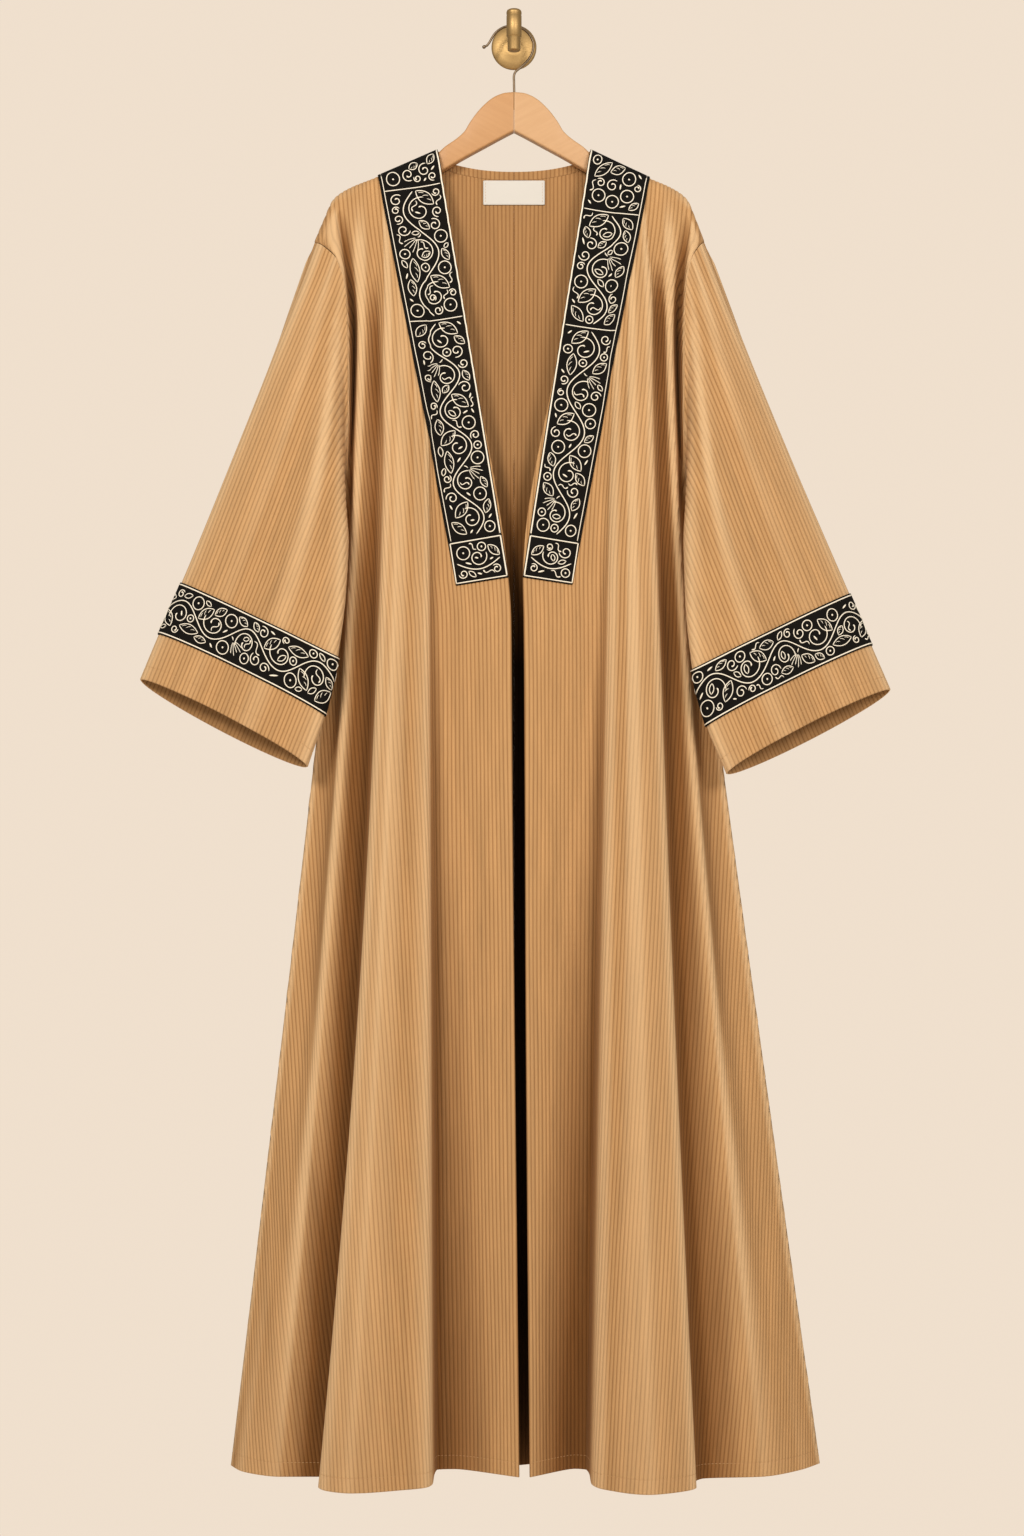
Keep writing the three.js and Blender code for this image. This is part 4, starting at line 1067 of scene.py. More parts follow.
# ---------------------------------------------------------------- embroidery
CORD = 0.6  # a cord's radius
GROUND_STEP = 0.8
REACH = 11.0  # a cord takes no room from points further off than this
LEAST_ROOM = 4.7  # narrower places stay bare
WIDEST_ROOM = 9.5
LARGE_ROOM = 6.2
LINE_GAP = 2.4  # between the motifs and a cross line
CORD_END = {"thin": 0.45, "over": 2}
BLOB = {"width": 1.3, "back": 0.8}
CORD_SECTION = ((-1, -0.2), (-0.74, 0.55), (0, 0.9), (0.74, 0.55), (1, -0.2))


def resample(points, step):
    points = np.asarray(points, float)
    run = run_along(points)
    count = max(2, round(run[-1] / step) + 1)
    at = np.linspace(0, run[-1], count)
    return np.stack([np.interp(at, run, points[:, i]) for i in range(points.shape[1])], axis=1)


def sweep_cords(name, strands, sign, material):
    """Half-round cords with closed ends; a strand is its points, normals and radii."""
    vertices, faces, twist = [], [], []
    count, sides = 0, len(CORD_SECTION)
    for points, normals, radii in strands:
        tangent = unit(np.gradient(points, axis=0))
        across = unit(np.cross(tangent, normals))
        ring = np.stack(
            [
                points + across * (w * radii)[:, None] + normals * (h * radii)[:, None]
                for w, h in CORD_SECTION
            ],
            axis=1,
        )
        n = len(points)
        faces += swept_faces(n, sides, count)
        run = run_along(points)
        around = np.broadcast_to(np.arange(sides)[None], (n, sides))
        along = np.broadcast_to(run[:, None], (n, sides))
        twist.append(np.stack([around, along, 0 * around], -1).reshape(-1, 3))
        vertices.append(ring.reshape(-1, 3))
        count += n * sides
    points = to_metres(np.concatenate(vertices), sign)
    if sign > 0:
        faces = [face[::-1] for face in faces]
    return make_object(name, points, faces, material, {"cloth": np.concatenate(twist)})


def lay_cords(place, routes, lift):
    """Strands on a surface, from routes of points (across, along) with their radii."""
    flat = np.concatenate([points for points, _ in routes])
    on, normals = place(flat[:, 0], flat[:, 1])
    ends = np.cumsum([len(points) for points, _ in routes])[:-1]
    parts = zip(np.split(on + normals * lift, ends), np.split(normals, ends), routes)
    return [(points, n, radii) for points, n, (_, radii) in parts]


def route(points, radius, step=1.5, taper=True, blob=0.0):
    """A cord through points, thin at its ends; a blob swells its last end."""
    points = resample(points, step)
    run = np.linspace(0, 1, len(points)) * step * len(points)
    from_end = np.minimum(run, run[-1] - run)
    thinning = lerp(CORD_END["thin"], 1, smooth(from_end / CORD_END["over"]))
    radii = radius * (thinning if taper else np.ones(len(points)))
    if blob:
        radii = radii + blob * np.exp(-(((run[-1] - run) / BLOB["width"] - BLOB["back"]) ** 2))
    return points, radii


def polar(center, radius, angle):
    way = np.stack([np.cos(angle), np.sin(angle)], axis=-1)
    return np.asarray(center) + way * np.asarray(radius)[..., None]


def spiral(center, outer, inner, start, turns, hand, radius):
    t = np.linspace(0, 1, 60)
    line = polar(center, lerp(outer, inner, t**0.9), start + hand * 2 * np.pi * turns * t)
    return route(line, radius, blob=0.5)


def ring(center, size, radius, gap=0.0):
    t = np.linspace(gap, 2 * np.pi, 28)
    return route(polar(center, size + 0 * t, t), radius, taper=gap > 0)


def dot(center, size, angle=0.0, length=0.0):
    t = np.linspace(-1, 1, 6)
    reach = size + length / 2
    line = np.asarray(center) + np.outer(t * reach, [np.cos(angle), np.sin(angle)])
    return line, size * np.sqrt(np.maximum(1 - t**2, 0.08))


def bow(start, end, bulge, radius, **ends):
    """A curved stroke between two points."""
    start, end = np.asarray(start, float), np.asarray(end, float)
    t = np.linspace(0, 1, 20)
    side = np.array([-(end - start)[1], (end - start)[0]])
    return route(lerp(start, end, t[:, None]) + np.outer(4 * t * (1 - t) * bulge, side), radius, **ends)


def leaf(base, angle, length, width, radius, veins):
    """Two bowed sides that meet at a tip, and slanting veins."""
    base = np.asarray(base, float)
    tip = base + length * np.array([np.cos(angle), np.sin(angle)])
    side = np.array([-np.sin(angle), np.cos(angle)])
    made = [bow(base, tip, way * width / (2 * length), radius) for way in (1, -1)]
    for i in range(veins):
        t = (i + 0.6) / (veins + 0.4)
        foot = lerp(base, tip, t * 0.8)
        reach = width * 0.42 * np.sin(np.pi * min(t + 0.12, 1))
        head = lerp(base, tip, t * 0.8 + 0.2) + side * reach * 0.8
        made.append(bow(foot, head, 0.1, radius * 0.62))
    return made


def fan(base, angle, spread, count, length, radius):
    made = []
    for i in range(count):
        way = angle + spread * (i / (count - 1) - 0.5)
        end = np.asarray(base) + length * (0.85 + 0.15 * (i % 2)) * np.array([np.cos(way), np.sin(way)])
        start = lerp(np.asarray(base), end, 0.16)
        made.append(bow(start, end, 0.12 * (i / (count - 1) - 0.5), radius * 0.66, blob=0.18))
    return made


def tendril(center, way, reach, hand):
    """A wavy stroke through a centre, with a blob at its end."""
    t = np.linspace(-1, 1, 16)
    along = np.array([np.cos(way), np.sin(way)])
    across = np.array([-along[1], along[0]]) * hand
    line = center + np.outer(t * reach, along) + np.outer(0.34 * reach * np.sin(np.pi * t), across)
    return route(line, CORD * 0.9, blob=0.5)


class Ground:
    """The room that is left between the cords of a stretch of band."""

    def __init__(self, low, high, bound=None):
        self.low, self.high = np.array(low, float), np.array(high, float)
        self.a, self.b = np.meshgrid(
            np.arange(low[0], high[0], GROUND_STEP), np.arange(low[1], high[1], GROUND_STEP), indexing="ij"
        )
        edges = (self.a - low[0], high[0] - self.a, self.b - low[1], high[1] - self.b)
        self.room = np.minimum.reduce(edges) + CORD
        if bound is not None:
            self.room = np.minimum(self.room, bound(self.a, self.b))
        self.routes = []

    def add(self, routes):
        for points, radii in routes:
            inside = np.clip(points, self.low + CORD, self.high - CORD)
            self.routes.append((inside, radii))
            near = slice(None), slice(
                max(0, int((inside[:, 1].min() - self.low[1] - REACH) / GROUND_STEP)),
                max(0, int((inside[:, 1].max() - self.low[1] + REACH) / GROUND_STEP)) + 1,
            )
            apart = np.hypot(
                self.a[near][..., None] - inside[:, 0], self.b[near][..., None] - inside[:, 1]
            ).min(axis=-1)
            self.room[near] = np.minimum(self.room[near], apart)

    def room_at(self, point):
        i, j = np.round((np.asarray(point) - self.low) / GROUND_STEP).astype(int)
        if 0 <= i < self.room.shape[0] and 0 <= j < self.room.shape[1]:
            return self.room[i, j]
        return 0.0

    def long_way(self, center, reach):
        """The direction in which the free room is longest, and how much there is at its two ends."""
        best = (0.0, -1.0)
        for angle in np.arange(0, np.pi, np.pi / 8):
            step = reach * np.array([np.cos(angle), np.sin(angle)])
            both = min(self.room_at(center + step), self.room_at(center - step))
            if both > best[1]:
                best = (angle, both)
        return best

    def fill(self, rng):
        """Puts the largest motif that fits into the widest room left, over and over."""
        while self.room.max() > LEAST_ROOM:
            i, j = np.unravel_index(self.room.argmax(), self.room.shape)
            center, room = np.array([self.a[i, j], self.b[i, j]]), min(self.room[i, j], WIDEST_ROOM)
            way, spare = self.long_way(center, room * 1.1)
            turn, pick = rng.uniform(0, 2 * np.pi), rng.integers(0, 3)
            hand = 1 if rng.uniform() < 0.5 else -1
            along = np.array([np.cos(way), np.sin(way)])
            reach = room - 1.9 + 0.8 * max(spare, 0)
            if room > LARGE_ROOM and pick == 0:
                made = [spiral(center, room - 2.2, 1.8, turn, 1.25, hand, CORD)]
            elif room > LARGE_ROOM and pick == 1:
                made = leaf(center - along * reach, way, 2 * reach, room * 1.05, CORD * 0.9, 3)
            elif room > LARGE_ROOM:
                made = [ring(center, room - 2.4, CORD), dot(center, 1.1)]
            elif pick == 0:
                made = leaf(center - along * reach, way, 2 * reach, room * 0.85, CORD * 0.9, 0)
            elif pick == 1:
                made = [tendril(center, way, 1.15 * reach, hand)]
            else:
                made = [dot(center, 1.0, way, 0.6 + 1.8 * max(spare, 0))]
            self.add(made)
            self.room[i, j] = 0
        return self.routes


BEND_LENGTH = 42  # of the scroll


def arabesque(low, high, seed):
    """A running scroll with a curl in each bend and veined leaves beside it; the rest is filled up."""
    rng = np.random.default_rng(seed)
    ground = Ground(low, high)
    width, length = ground.high - ground.low
    count = max(1, round(length / BEND_LENGTH))
    pitch = length / count
    swing, mid = width * 0.26, (low[0] + high[0]) / 2
    bs = np.linspace(low[1] + 2, high[1] - 2, 30 * count)
    stem = np.stack([mid + swing * np.sin(np.pi * (bs - low[1]) / pitch), bs], axis=1)
    ground.add([route(stem, CORD * 1.1)])
    for i in range(count):
        way = 1 if i % 2 == 0 else -1
        b = low[1] + (i + 0.5) * pitch
        lean = rng.uniform(-1, 1, 4)
        size = min(0.32 * pitch, 0.27 * width) + 0.4 * lean[0]
        center = np.array([mid + way * (swing - size - 2.6), b + lean[1]])
        ground.add([spiral(center, size, 3.6, -np.pi / 2 - 0.4 * way, 1.1, way, CORD)])
        # Across from the bend, by turns a veined leaf and a bunch of fine lines in a calyx.
        foot = np.array([mid - way * 1.5, b - 0.46 * pitch])
        away = np.pi / 2 + way * (0.85 + 0.1 * lean[2])
        long = 0.42 * width
        if i % 3 == 1:
            heart = foot + 0.22 * long * np.array([np.cos(away), np.sin(away)])
            ground.add(fan(heart, away, 1.15, 5, 0.75 * long, CORD))
            ground.add([bow(foot, heart, 0.1, CORD)])
        else:
            ground.add(leaf(foot, away, long, long * 0.5, CORD * 0.95, 3))
    return ground.fill(rng)


PIPING = 0.9
THIN = 0.5
INNER_RIM = 3.0
OUTER_RIM = 3.0  # black cloth outside the thin line along the lapel's outer edge


def straight(start, end, radius, step=4.0):
    return route(np.array([start, end], float), radius, step, taper=False)


def lapel_pieces(name, side, surface, band_material, cord_material, seed):
    lapel = Lapel(side, front_chart(surface))
    share = np.linspace(0, 1, 25)
    wrap = WRAP_ROWS / lapel.length
    down_shares = np.concatenate([wrap, np.linspace(wrap[-1], 1, 100)[1:]])
    block = (lapel.length + SEAM_GAP, lapel.foot)

    def rows(starts, ends, shares):
        along = lerp(starts[None], ends[None], shares[:, None])
        across = share[None] * lapel.width(along)
        return across, along

    tops = np.array([lapel.start(s * lapel.width(0)) for s in share])
    foot_rise = -0.6 * share  # the block's foot lies almost square to the band
    full = np.full(len(share), lapel.length)
    made = {
        "lapel_band": lay_band(
            f"lapel_band_{name}_cloth", side, lapel.place, *rows(tops, full, down_shares), band_material
        ),
        "lapel_end": lay_band(
            f"lapel_end_{name}_cloth",
            side,
            lapel.place,
            *rows(full + SEAM_GAP, np.full(len(share), block[1]) + foot_rise, np.linspace(0, 1, 14)),
            band_material,
        ),
    }
    lift = LIFT + BAND
    inner, length = INNER_RIM, lapel.length
    stops = (*LAPEL_LINES[name], length)  # the cross lines, and the seam with the block
    margin = OUTER_RIM + 1.8

    def below_top(a, b):
        return b - lapel.start(a) - 1.2

    crown = Ground((inner, 1.0), (lapel.width(30) - margin, stops[0] - LINE_GAP), below_top)
    routes = crown.fill(np.random.default_rng(seed + 7))
    for i, (start, end) in enumerate(zip(stops, stops[1:])):
        middle = lapel.width((start + end) / 2) - margin
        for points, radii in arabesque((inner, start + LINE_GAP), (middle, end - LINE_GAP), seed + i):
            share_across = (points[:, 0] - inner) / (middle - inner)
            points[:, 0] = inner + share_across * (lapel.width(points[:, 1]) - margin - inner)
            routes.append((points, radii))
    for stop in stops[:-1]:
        routes.append(bow((inner, stop + 0.6), (lapel.width(stop) - OUTER_RIM, stop - 0.6), 0.01, CORD))
    routes.append(straight((PIPING, 1.5), (PIPING, length - 1), PIPING))
    rim = [(lapel.width(b) - OUTER_RIM, b) for b in (lapel.slant + 0.5, length - 1)]
    routes.append(straight(rim[0], rim[1], THIN))
    band_cords = sweep_cords(
        f"lapel_band_{name}_cords", lay_cords(lapel.place, routes, lift), side["sign"], cord_material
    )
    # The end block: a border all round, and its own scroll.
    start, end = block[0] + 1.4, block[1] - 1.6
    wide = lapel.width(length) - 1.6
    block_routes = [
        straight((PIPING, start), (PIPING, end), PIPING),
        straight((PIPING, start), (wide, start), THIN * 1.4),
        straight((PIPING, end), (wide, end - 0.6), PIPING * 0.75),
        straight((wide, start), (wide, end - 0.6), THIN * 1.4),
    ]
    turned = []
    for points, radii in arabesque((start + 2, 3.2), (end - 2.6, wide - 2.2), seed + 9):
        turned.append((points[:, ::-1], radii))
    end_cords = sweep_cords(
        f"lapel_end_{name}_cords",
        lay_cords(lapel.place, block_routes + turned, lift),
        side["sign"],
        cord_material,
    )
    return made, {"lapel_band": band_cords, "lapel_end": end_cords}


def cuff_pieces(name, side, surface, band_material, cord_material, seed):
    turns = SLEEVE_TURNS
    chart = grid_chart(surface, turns, sleeve_rows())
    middle_k = (CUFF_BAND[0] + CUFF_BAND[1]) / 2
    ring_points = chart(turns, middle_k + 0 * turns)[0]
    run = run_along(ring_points)
    side_line = chart(np.array([0.25, 0.25]), np.array(CUFF_BAND))[0]
    height = np.linalg.norm(side_line[1] - side_line[0])

    def place(across, along):
        turn = np.interp(along, run, turns)
        return chart(turn, lerp(*CUFF_BAND, np.asarray(across) / height))

    share = np.linspace(0, 1, 12)
    along = np.linspace(SEAM_GAP, run[-1] - SEAM_GAP, 150)
    across, along = np.meshgrid(share * height, along, indexing="ij")
    band = lay_band(f"cuff_band_{name}_cloth", side, place, across, along, band_material)
    edge, end = 1.7, run[-1] - 1
    margin = edge + LINE_GAP
    routes = arabesque((margin, 1), (height - margin, end), seed)
    routes.append(straight((edge, 1), (edge, end), THIN * 1.5))
    routes.append(straight((height - edge, 1), (height - edge, end), THIN * 1.5))
    cords = sweep_cords(
        f"cuff_band_{name}_cords", lay_cords(place, routes, LIFT + BAND), side["sign"], cord_material
    )
    return band, cords


# ---------------------------------------------------------------- stitches
STITCH_ENDS = np.array([0.5, 1, 1, 0.5])
STITCH = {"length": 2.7, "pitch": 4.1, "radius": 0.32}


def stitch_strands(surface, row):
    """A line of short stitches along one row of a surface."""
    points, normals, q = (field[row] for field in surface)
    both = np.concatenate([points, normals], axis=1)
    strands = []
    for start in np.arange(q[0] + 3, q[-1] - 5, STITCH["pitch"]):
        at = np.linspace(start, start + STITCH["length"], 4)
        found = np.stack([np.interp(at, q, both[:, i]) for i in range(6)], axis=1)
        n = unit(found[:, 3:])
        lift = CLOTH / 2 - STITCH_SINK
        radii = STITCH["radius"] * STITCH_ENDS
        strands.append((found[:, :3] + n * lift, n, radii))
    return strands


# ---------------------------------------------------------------- the label
LABEL_STITCH = {"pitch": 3.2, "length": 2.2, "inset": 2.2, "out": 0.42, "radius": 0.2}
LABEL = {"width": 67, "height": 26, "thick": 0.8, "top": 152, "out": 16.5, "bow": 0.35}


def add_label(material, thread_material):
    xs = np.linspace(-LABEL["width"] / 2, LABEL["width"] / 2, 41)
    downs = LABEL["top"] + np.linspace(0, LABEL["height"], 17)
    x, down = np.meshgrid(xs, downs)
    lift = LABEL["bow"] * np.cos(np.pi * x / LABEL["width"])
    lift = lift * np.sin(np.pi * (down - LABEL["top"]) / LABEL["height"])
    middle = np.stack([x, LABEL["out"] + lift, down], axis=-1)
    half = np.array([0, LABEL["thick"] / 2, 0])
    weave = np.stack([x, down, 0 * x], axis=-1).reshape(-1, 3)
    label = shell("neck_label_cloth", middle + half, middle - half, 1, material, {"cloth": weave}, ALL_EDGES)
    strands = []
    out_way = np.tile(OUTWARD, (4, 1))
    for end in (-1, 1):
        for start in np.arange(2, LABEL["height"] - 3, LABEL_STITCH["pitch"]):
            at = LABEL["top"] + start + np.linspace(0, LABEL_STITCH["length"], 4)
            x = 0 * at + end * (LABEL["width"] / 2 - LABEL_STITCH["inset"])
            line = np.stack([x, 0 * at + LABEL["out"] + LABEL_STITCH["out"], at], axis=1)
            strands.append((line, out_way, LABEL_STITCH["radius"] * STITCH_ENDS))
    stitches = sweep_cords("neck_label_stitches", strands, 1, thread_material)
    return label, stitches


# ---------------------------------------------------------------- the hanger and its hooks
HANGER = {"thick": 13.5, "round": 2.6, "hidden_round": 6, "hidden_from": 80, "tip_x": 187}
ARM = {"rings": 40, "curved_to": 60, "end_round": 10, "end_x": 182, "end_height": 18}
THINNEST_END = 0.0004
MOST_ROUND = 0.98  # of the half that is rounded off
HANGER_FOOT = table(
    "x down",
    (0, 100.8),
    (12, 107),
    (30, 116.8),
    (55, 130.4),
    (75.9, 142.6),
    (95, 153.5),
    (120, 168),
    (150, 183),
)
TIP_CLEARANCE = {"extra": 1.8, "from_x": 140, "over_x": 30}


def hanger_arm(name, sign, material):
    """One arm: rounded sections across it, from the joint to its rounded end."""
    def wood_top(x):
        cloth = np.maximum(*(shoulder_down(side, x) for side in SIDES.values()))
        near_tip = smooth((x - TIP_CLEARANCE["from_x"]) / TIP_CLEARANCE["over_x"])
        clearance = TIP_CLEARANCE["extra"] * near_tip
        return np.where(x < NECK_X, hanger_top(x), cloth + CLOTH_OVER_WOOD + clearance)

    foot = curve(HANGER_FOOT["x"], HANGER_FOOT["down"])
    foot_x, foot_down = HANGER_FOOT["x"][-1], HANGER_FOOT["down"][-1]
    end_down = wood_top(ARM["end_x"]) + ARM["end_height"]
    tip, end_round = HANGER["tip_x"], ARM["end_round"]
    to_end = end_round * (1 - np.cos(np.linspace(0, np.pi / 2, 9)))[::-1]
    curved = np.linspace(SEAM_GAP / 2, ARM["curved_to"], ARM["rings"])
    long = np.linspace(ARM["curved_to"] + 2, tip - end_round - 1, ARM["rings"])
    xs = np.concatenate([curved, long, tip - to_end - 0.01])
    rings = []
    for x in xs:
        top, low = wood_top(x), foot(min(x, foot_x))
        low = np.where(x > foot_x, lerp(foot_down, end_down, (x - foot_x) / (tip - foot_x)), low)
        middle, half = (top + low) / 2, (low - top) / 2
        into = max(x - (tip - end_round), 0) / end_round
        shrink = math.sqrt(max(1 - into**2, THINNEST_END))
        hidden = smooth((x - HANGER["hidden_from"]) / 8 + 0.5)
        bevel = lerp(HANGER["round"], HANGER["hidden_round"], hidden)
        half, depth = half * shrink, HANGER["thick"] / 2 * shrink
        bevel = min(bevel * shrink, half * MOST_ROUND, depth * MOST_ROUND)
        ring_points = []
        for quarter, (across, upright) in enumerate(((1, 1), (-1, 1), (-1, -1), (1, -1))):
            for angle in np.linspace(0, np.pi / 2, 6) + quarter * np.pi / 2:
                c, s = np.cos(angle), np.sin(angle)
                out = across * (depth - bevel) + bevel * c
                down = upright * (half - bevel) + bevel * s
                ring_points.append((x, HANGER_OUT + out, middle + down))
        rings.append(ring_points)
    rings = np.array(rings)
    count, sides = rings.shape[:2]
    index = np.arange(count * sides).reshape(count, sides)
    after = np.roll(index, -1, axis=1)
    faces = np.stack([index[:-1], index[1:], after[1:], after[:-1]], axis=-1).reshape(-1, 4).tolist()
    faces += [index[0].tolist(), index[-1, ::-1].tolist()]
    if sign < 0:
        faces = [face[::-1] for face in faces]
    return make_object(name, to_metres(rings.reshape(-1, 3), sign), faces, material)


WIRE_RADIUS = 1.3
HOOK_STEM = (
    (0, 76),
    (0.2, 66),
    (0.2, 57.8),
    (0, 46),
    (0, 38.8),
    (2, 34),
    (8, 29),
    (15, 22),
    (19.8, 14),
)
HOOK_ARC = {"x": -2.5, "down": 8, "radius": 24.3, "from": 8, "to": 150, "steps": 12}
HOOK_TIP = ((-27, 1.9), (-30, 5.6), (-33, 6.4))
HOOK_BEAD = {"radius": 2, "drop": 0.6}


def smooth_line(points, steps):
    """A Catmull-Rom curve through points, with a number of steps between each two."""
    points = np.asarray(points, float)
    padded = np.concatenate([[2 * points[0] - points[1]], points, [2 * points[-1] - points[-2]]])
    t = np.linspace(0, 1, steps, endpoint=False)[:, None]
    made = []
    for a, b, c, d in zip(padded, padded[1:], padded[2:], padded[3:]):
        made.append(b + 0.5 * t * (c - a + t * (2 * a - 5 * b + 4 * c - d + t * (3 * (b - c) + d - a))))
    return np.concatenate(made + [points[-1:]])


def joined(name, parts, material):
    """One object of several closed meshes, each of points (x, out, down) and faces."""
    points, faces, count = [], [], 0
    for part_points, part_faces in parts:
        points.append(part_points)
        faces += [[i + count for i in face] for face in part_faces]
        count += len(part_points)
    return make_object(name, to_metres(np.concatenate(points)), faces, material)


def tube(line, radius, sides):
    """A round tube along a line that lies in one plane before the wall."""
    tangent = unit(np.gradient(line, axis=0))
    across = unit(np.cross(tangent, OUTWARD))
    angles = np.linspace(0, 2 * np.pi, sides, endpoint=False)
    rings = (
        line[:, None]
        + radius * np.cos(angles)[None, :, None] * across[:, None]
        + radius * np.sin(angles)[None, :, None] * OUTWARD
    )
    return rings.reshape(-1, 3), swept_faces(len(line), sides)


def lathe(profile, axis, origin, sides):
    """A closed turned shape: profile rows are a radius and a place along the axis."""
    axis = unit(np.asarray(axis, float))
    first = unit(np.cross(axis, [0.3, 0.2, 1.0]))
    second = np.cross(axis, first)
    angles = np.linspace(0, 2 * np.pi, sides, endpoint=False)
    ring_way = np.cos(angles)[:, None] * first + np.sin(angles)[:, None] * second
    points = np.concatenate([np.asarray(origin) + axis * at + ring_way * max(r, 0.01) for r, at in profile])
    return points, swept_faces(len(profile), sides)


def outward(part):
    """Turns a closed mesh's faces to look out, in the order of axes (x, out, down)."""
    points, faces = part
    volume = 0.0
    for face in faces:
        a = points[face[0]]
        for i in range(1, len(face) - 1):
            volume += np.dot(a, np.cross(points[face[i]], points[face[i + 1]]))
    # (x, out, down) to (x, -out, -down) turns the axes without mirroring them.
    return (points, faces) if volume > 0 else (points, [face[::-1] for face in faces])


def add_hook(material):
    angles = np.radians(np.linspace(HOOK_ARC["from"], HOOK_ARC["to"], HOOK_ARC["steps"] + 1))
    arc_x = HOOK_ARC["x"] + HOOK_ARC["radius"] * np.cos(angles)
    arc_down = HOOK_ARC["down"] - HOOK_ARC["radius"] * np.sin(angles)
    arc = np.stack([arc_x, arc_down], axis=1)
    flat = smooth_line(np.concatenate([HOOK_STEM, arc, HOOK_TIP]), 5)
    line = np.stack([flat[:, 0], np.full(len(flat), HANGER_OUT), flat[:, 1]], axis=1)
    rise = np.linspace(-np.pi / 2, np.pi / 2, 11)
    bead = np.stack([HOOK_BEAD["radius"] * np.cos(rise), HOOK_BEAD["radius"] * np.sin(rise)], axis=1)
    center = line[-1] + [0, 0, HOOK_BEAD["drop"]]
    parts = [outward(tube(line, WIRE_RADIUS, 14)), outward(lathe(bead, (1, 0, 0), center, 18))]
    return joined("hanger_hook_wire", parts, material)


# Turned shapes, with small rounded corners.
ROSE = (
    (0, 0),
    (24.6, 0),
    (25, 0.4),
    (25, 1.7),
    (24.6, 2.2),
    (23, 3.4),
    (17, 4.9),
    (11, 6.6),
    (9.6, 7),
    (0, 7),
)
BAR = (
    (0, -18.7),
    (5.6, -18.7),
    (6.6, -18.2),
    (7, -17.3),
    (7, -4.2),
    (7.6, -3.4),
    (8.25, -2.8),
    (8.25, 19.4),
    (7.75, 20.1),
    (7.75, 20.7),
    (8.25, 21.4),
    (8.25, 23.6),
    (7.6, 25.2),
    (6.2, 26.1),
    (4, 26.5),
    (0, 26.5),
)
BAR_OUT = 50
STEM = {"radius": 6.5, "root_up": 1, "head_up": 13.9, "face_out": 6.7}


def add_wall_hook(material):
    rose = outward(lathe(ROSE, (0, 1, 0), (0, 0, 0), 72))
    bar = outward(lathe(BAR, (0, 0, -1), (0, BAR_OUT, 0), 48))
    root = np.array([0, STEM["face_out"] + SEAM_GAP, -STEM["root_up"]])
    head = np.array([0, BAR_OUT, -STEM["head_up"]])
    length = np.linalg.norm(head - root)
    rod = ((0, 0), (STEM["radius"], 0), (STEM["radius"], length), (0, length))
    stem = outward(lathe(rod, head - root, root, 40))
    return joined("wall_plate_brass", [rose], material), joined("wall_peg_brass", [bar, stem], material)


# ---------------------------------------------------------------- materials
def new_material(name, color, roughness, metallic=0.0, specular=0.3):
    material = bpy.data.materials.new(name)
    material.use_nodes = True
    shader = material.node_tree.nodes["Principled BSDF"]
    shader.inputs["Base Color"].default_value = (*color, 1)
    shader.inputs["Roughness"].default_value = roughness
    shader.inputs["Metallic"].default_value = metallic
    shader.inputs["Specular IOR Level"].default_value = specular
    return material, material.node_tree, shader


def add_node(tree, kind, inputs=None, **settings):
    node = tree.nodes.new(kind)
    for key, value in settings.items():
        setattr(node, key, value)
    for key, value in (inputs or {}).items():
        if isinstance(value, bpy.types.NodeSocket):
            tree.links.new(value, node.inputs[key])
        else:
            node.inputs[key].default_value = value
    return node


def attribute(tree, name, output="Fac"):
    return add_node(tree, "ShaderNodeAttribute", attribute_name=name).outputs[output]


def noise(tree, vector, scale, detail=3.0):
    """A noise over a vector that is stretched by a scale on each axis."""
    place = add_node(tree, "ShaderNodeMapping", {"Vector": vector, "Scale": scale}).outputs[0]
    made = add_node(tree, "ShaderNodeTexNoise", {"Vector": place, "Scale": 1.0, "Detail": detail})
    return made.outputs["Fac"]


def remap(tree, value, low, high, start=0.0, end=1.0):
    """Carries a value that runs from start to end over to low to high."""
    ends = {"From Min": start, "From Max": end, "To Min": low, "To Max": high}
    return add_node(tree, "ShaderNodeMapRange", {"Value": value, **ends}).outputs["Result"]


def scaled(tree, color, scale):
    inputs = {0: color, "Scale": scale}
    return add_node(tree, "ShaderNodeVectorMath", inputs, operation="SCALE").outputs[0]


def mixed_color(tree, factor, a, b, blend="MIX"):
    node = add_node(tree, "ShaderNodeMix", data_type="RGBA", blend_type=blend)
    for socket, value in ((node.inputs[0], factor), (node.inputs[6], a), (node.inputs[7], b)):
        if isinstance(value, bpy.types.NodeSocket):
            tree.links.new(value, socket)
        else:
            socket.default_value = value
    return node.outputs[2]


def bumped(tree, shader, height, distance, strength=1.0):
    bump = add_node(tree, "ShaderNodeBump", {"Strength": strength, "Distance": distance, "Height": height})
    tree.links.new(bump.outputs["Normal"], shader.inputs["Normal"])


# Painted shade in the grooves; the wale tops keep the cloth's own colour.
GROOVE_SHADE_COLOR = (0.29, 0.142, 0.052, 1)
WALE_COLOR = (0.545, 0.312, 0.136, 1)
# Painted shade in the folds, from the openness of the cloth.
FOLD_SHADE_COLOR = (0.44, 0.33, 0.22, 1)  # what the colour is multiplied by, deep in a fold
WOOD_TURN = 0.5  # radians that the grain leans, along each arm
# Painted highlight along sharp fold crests.
CREST_HIGHLIGHT_COLOR = (0.80, 0.57, 0.33, 1)


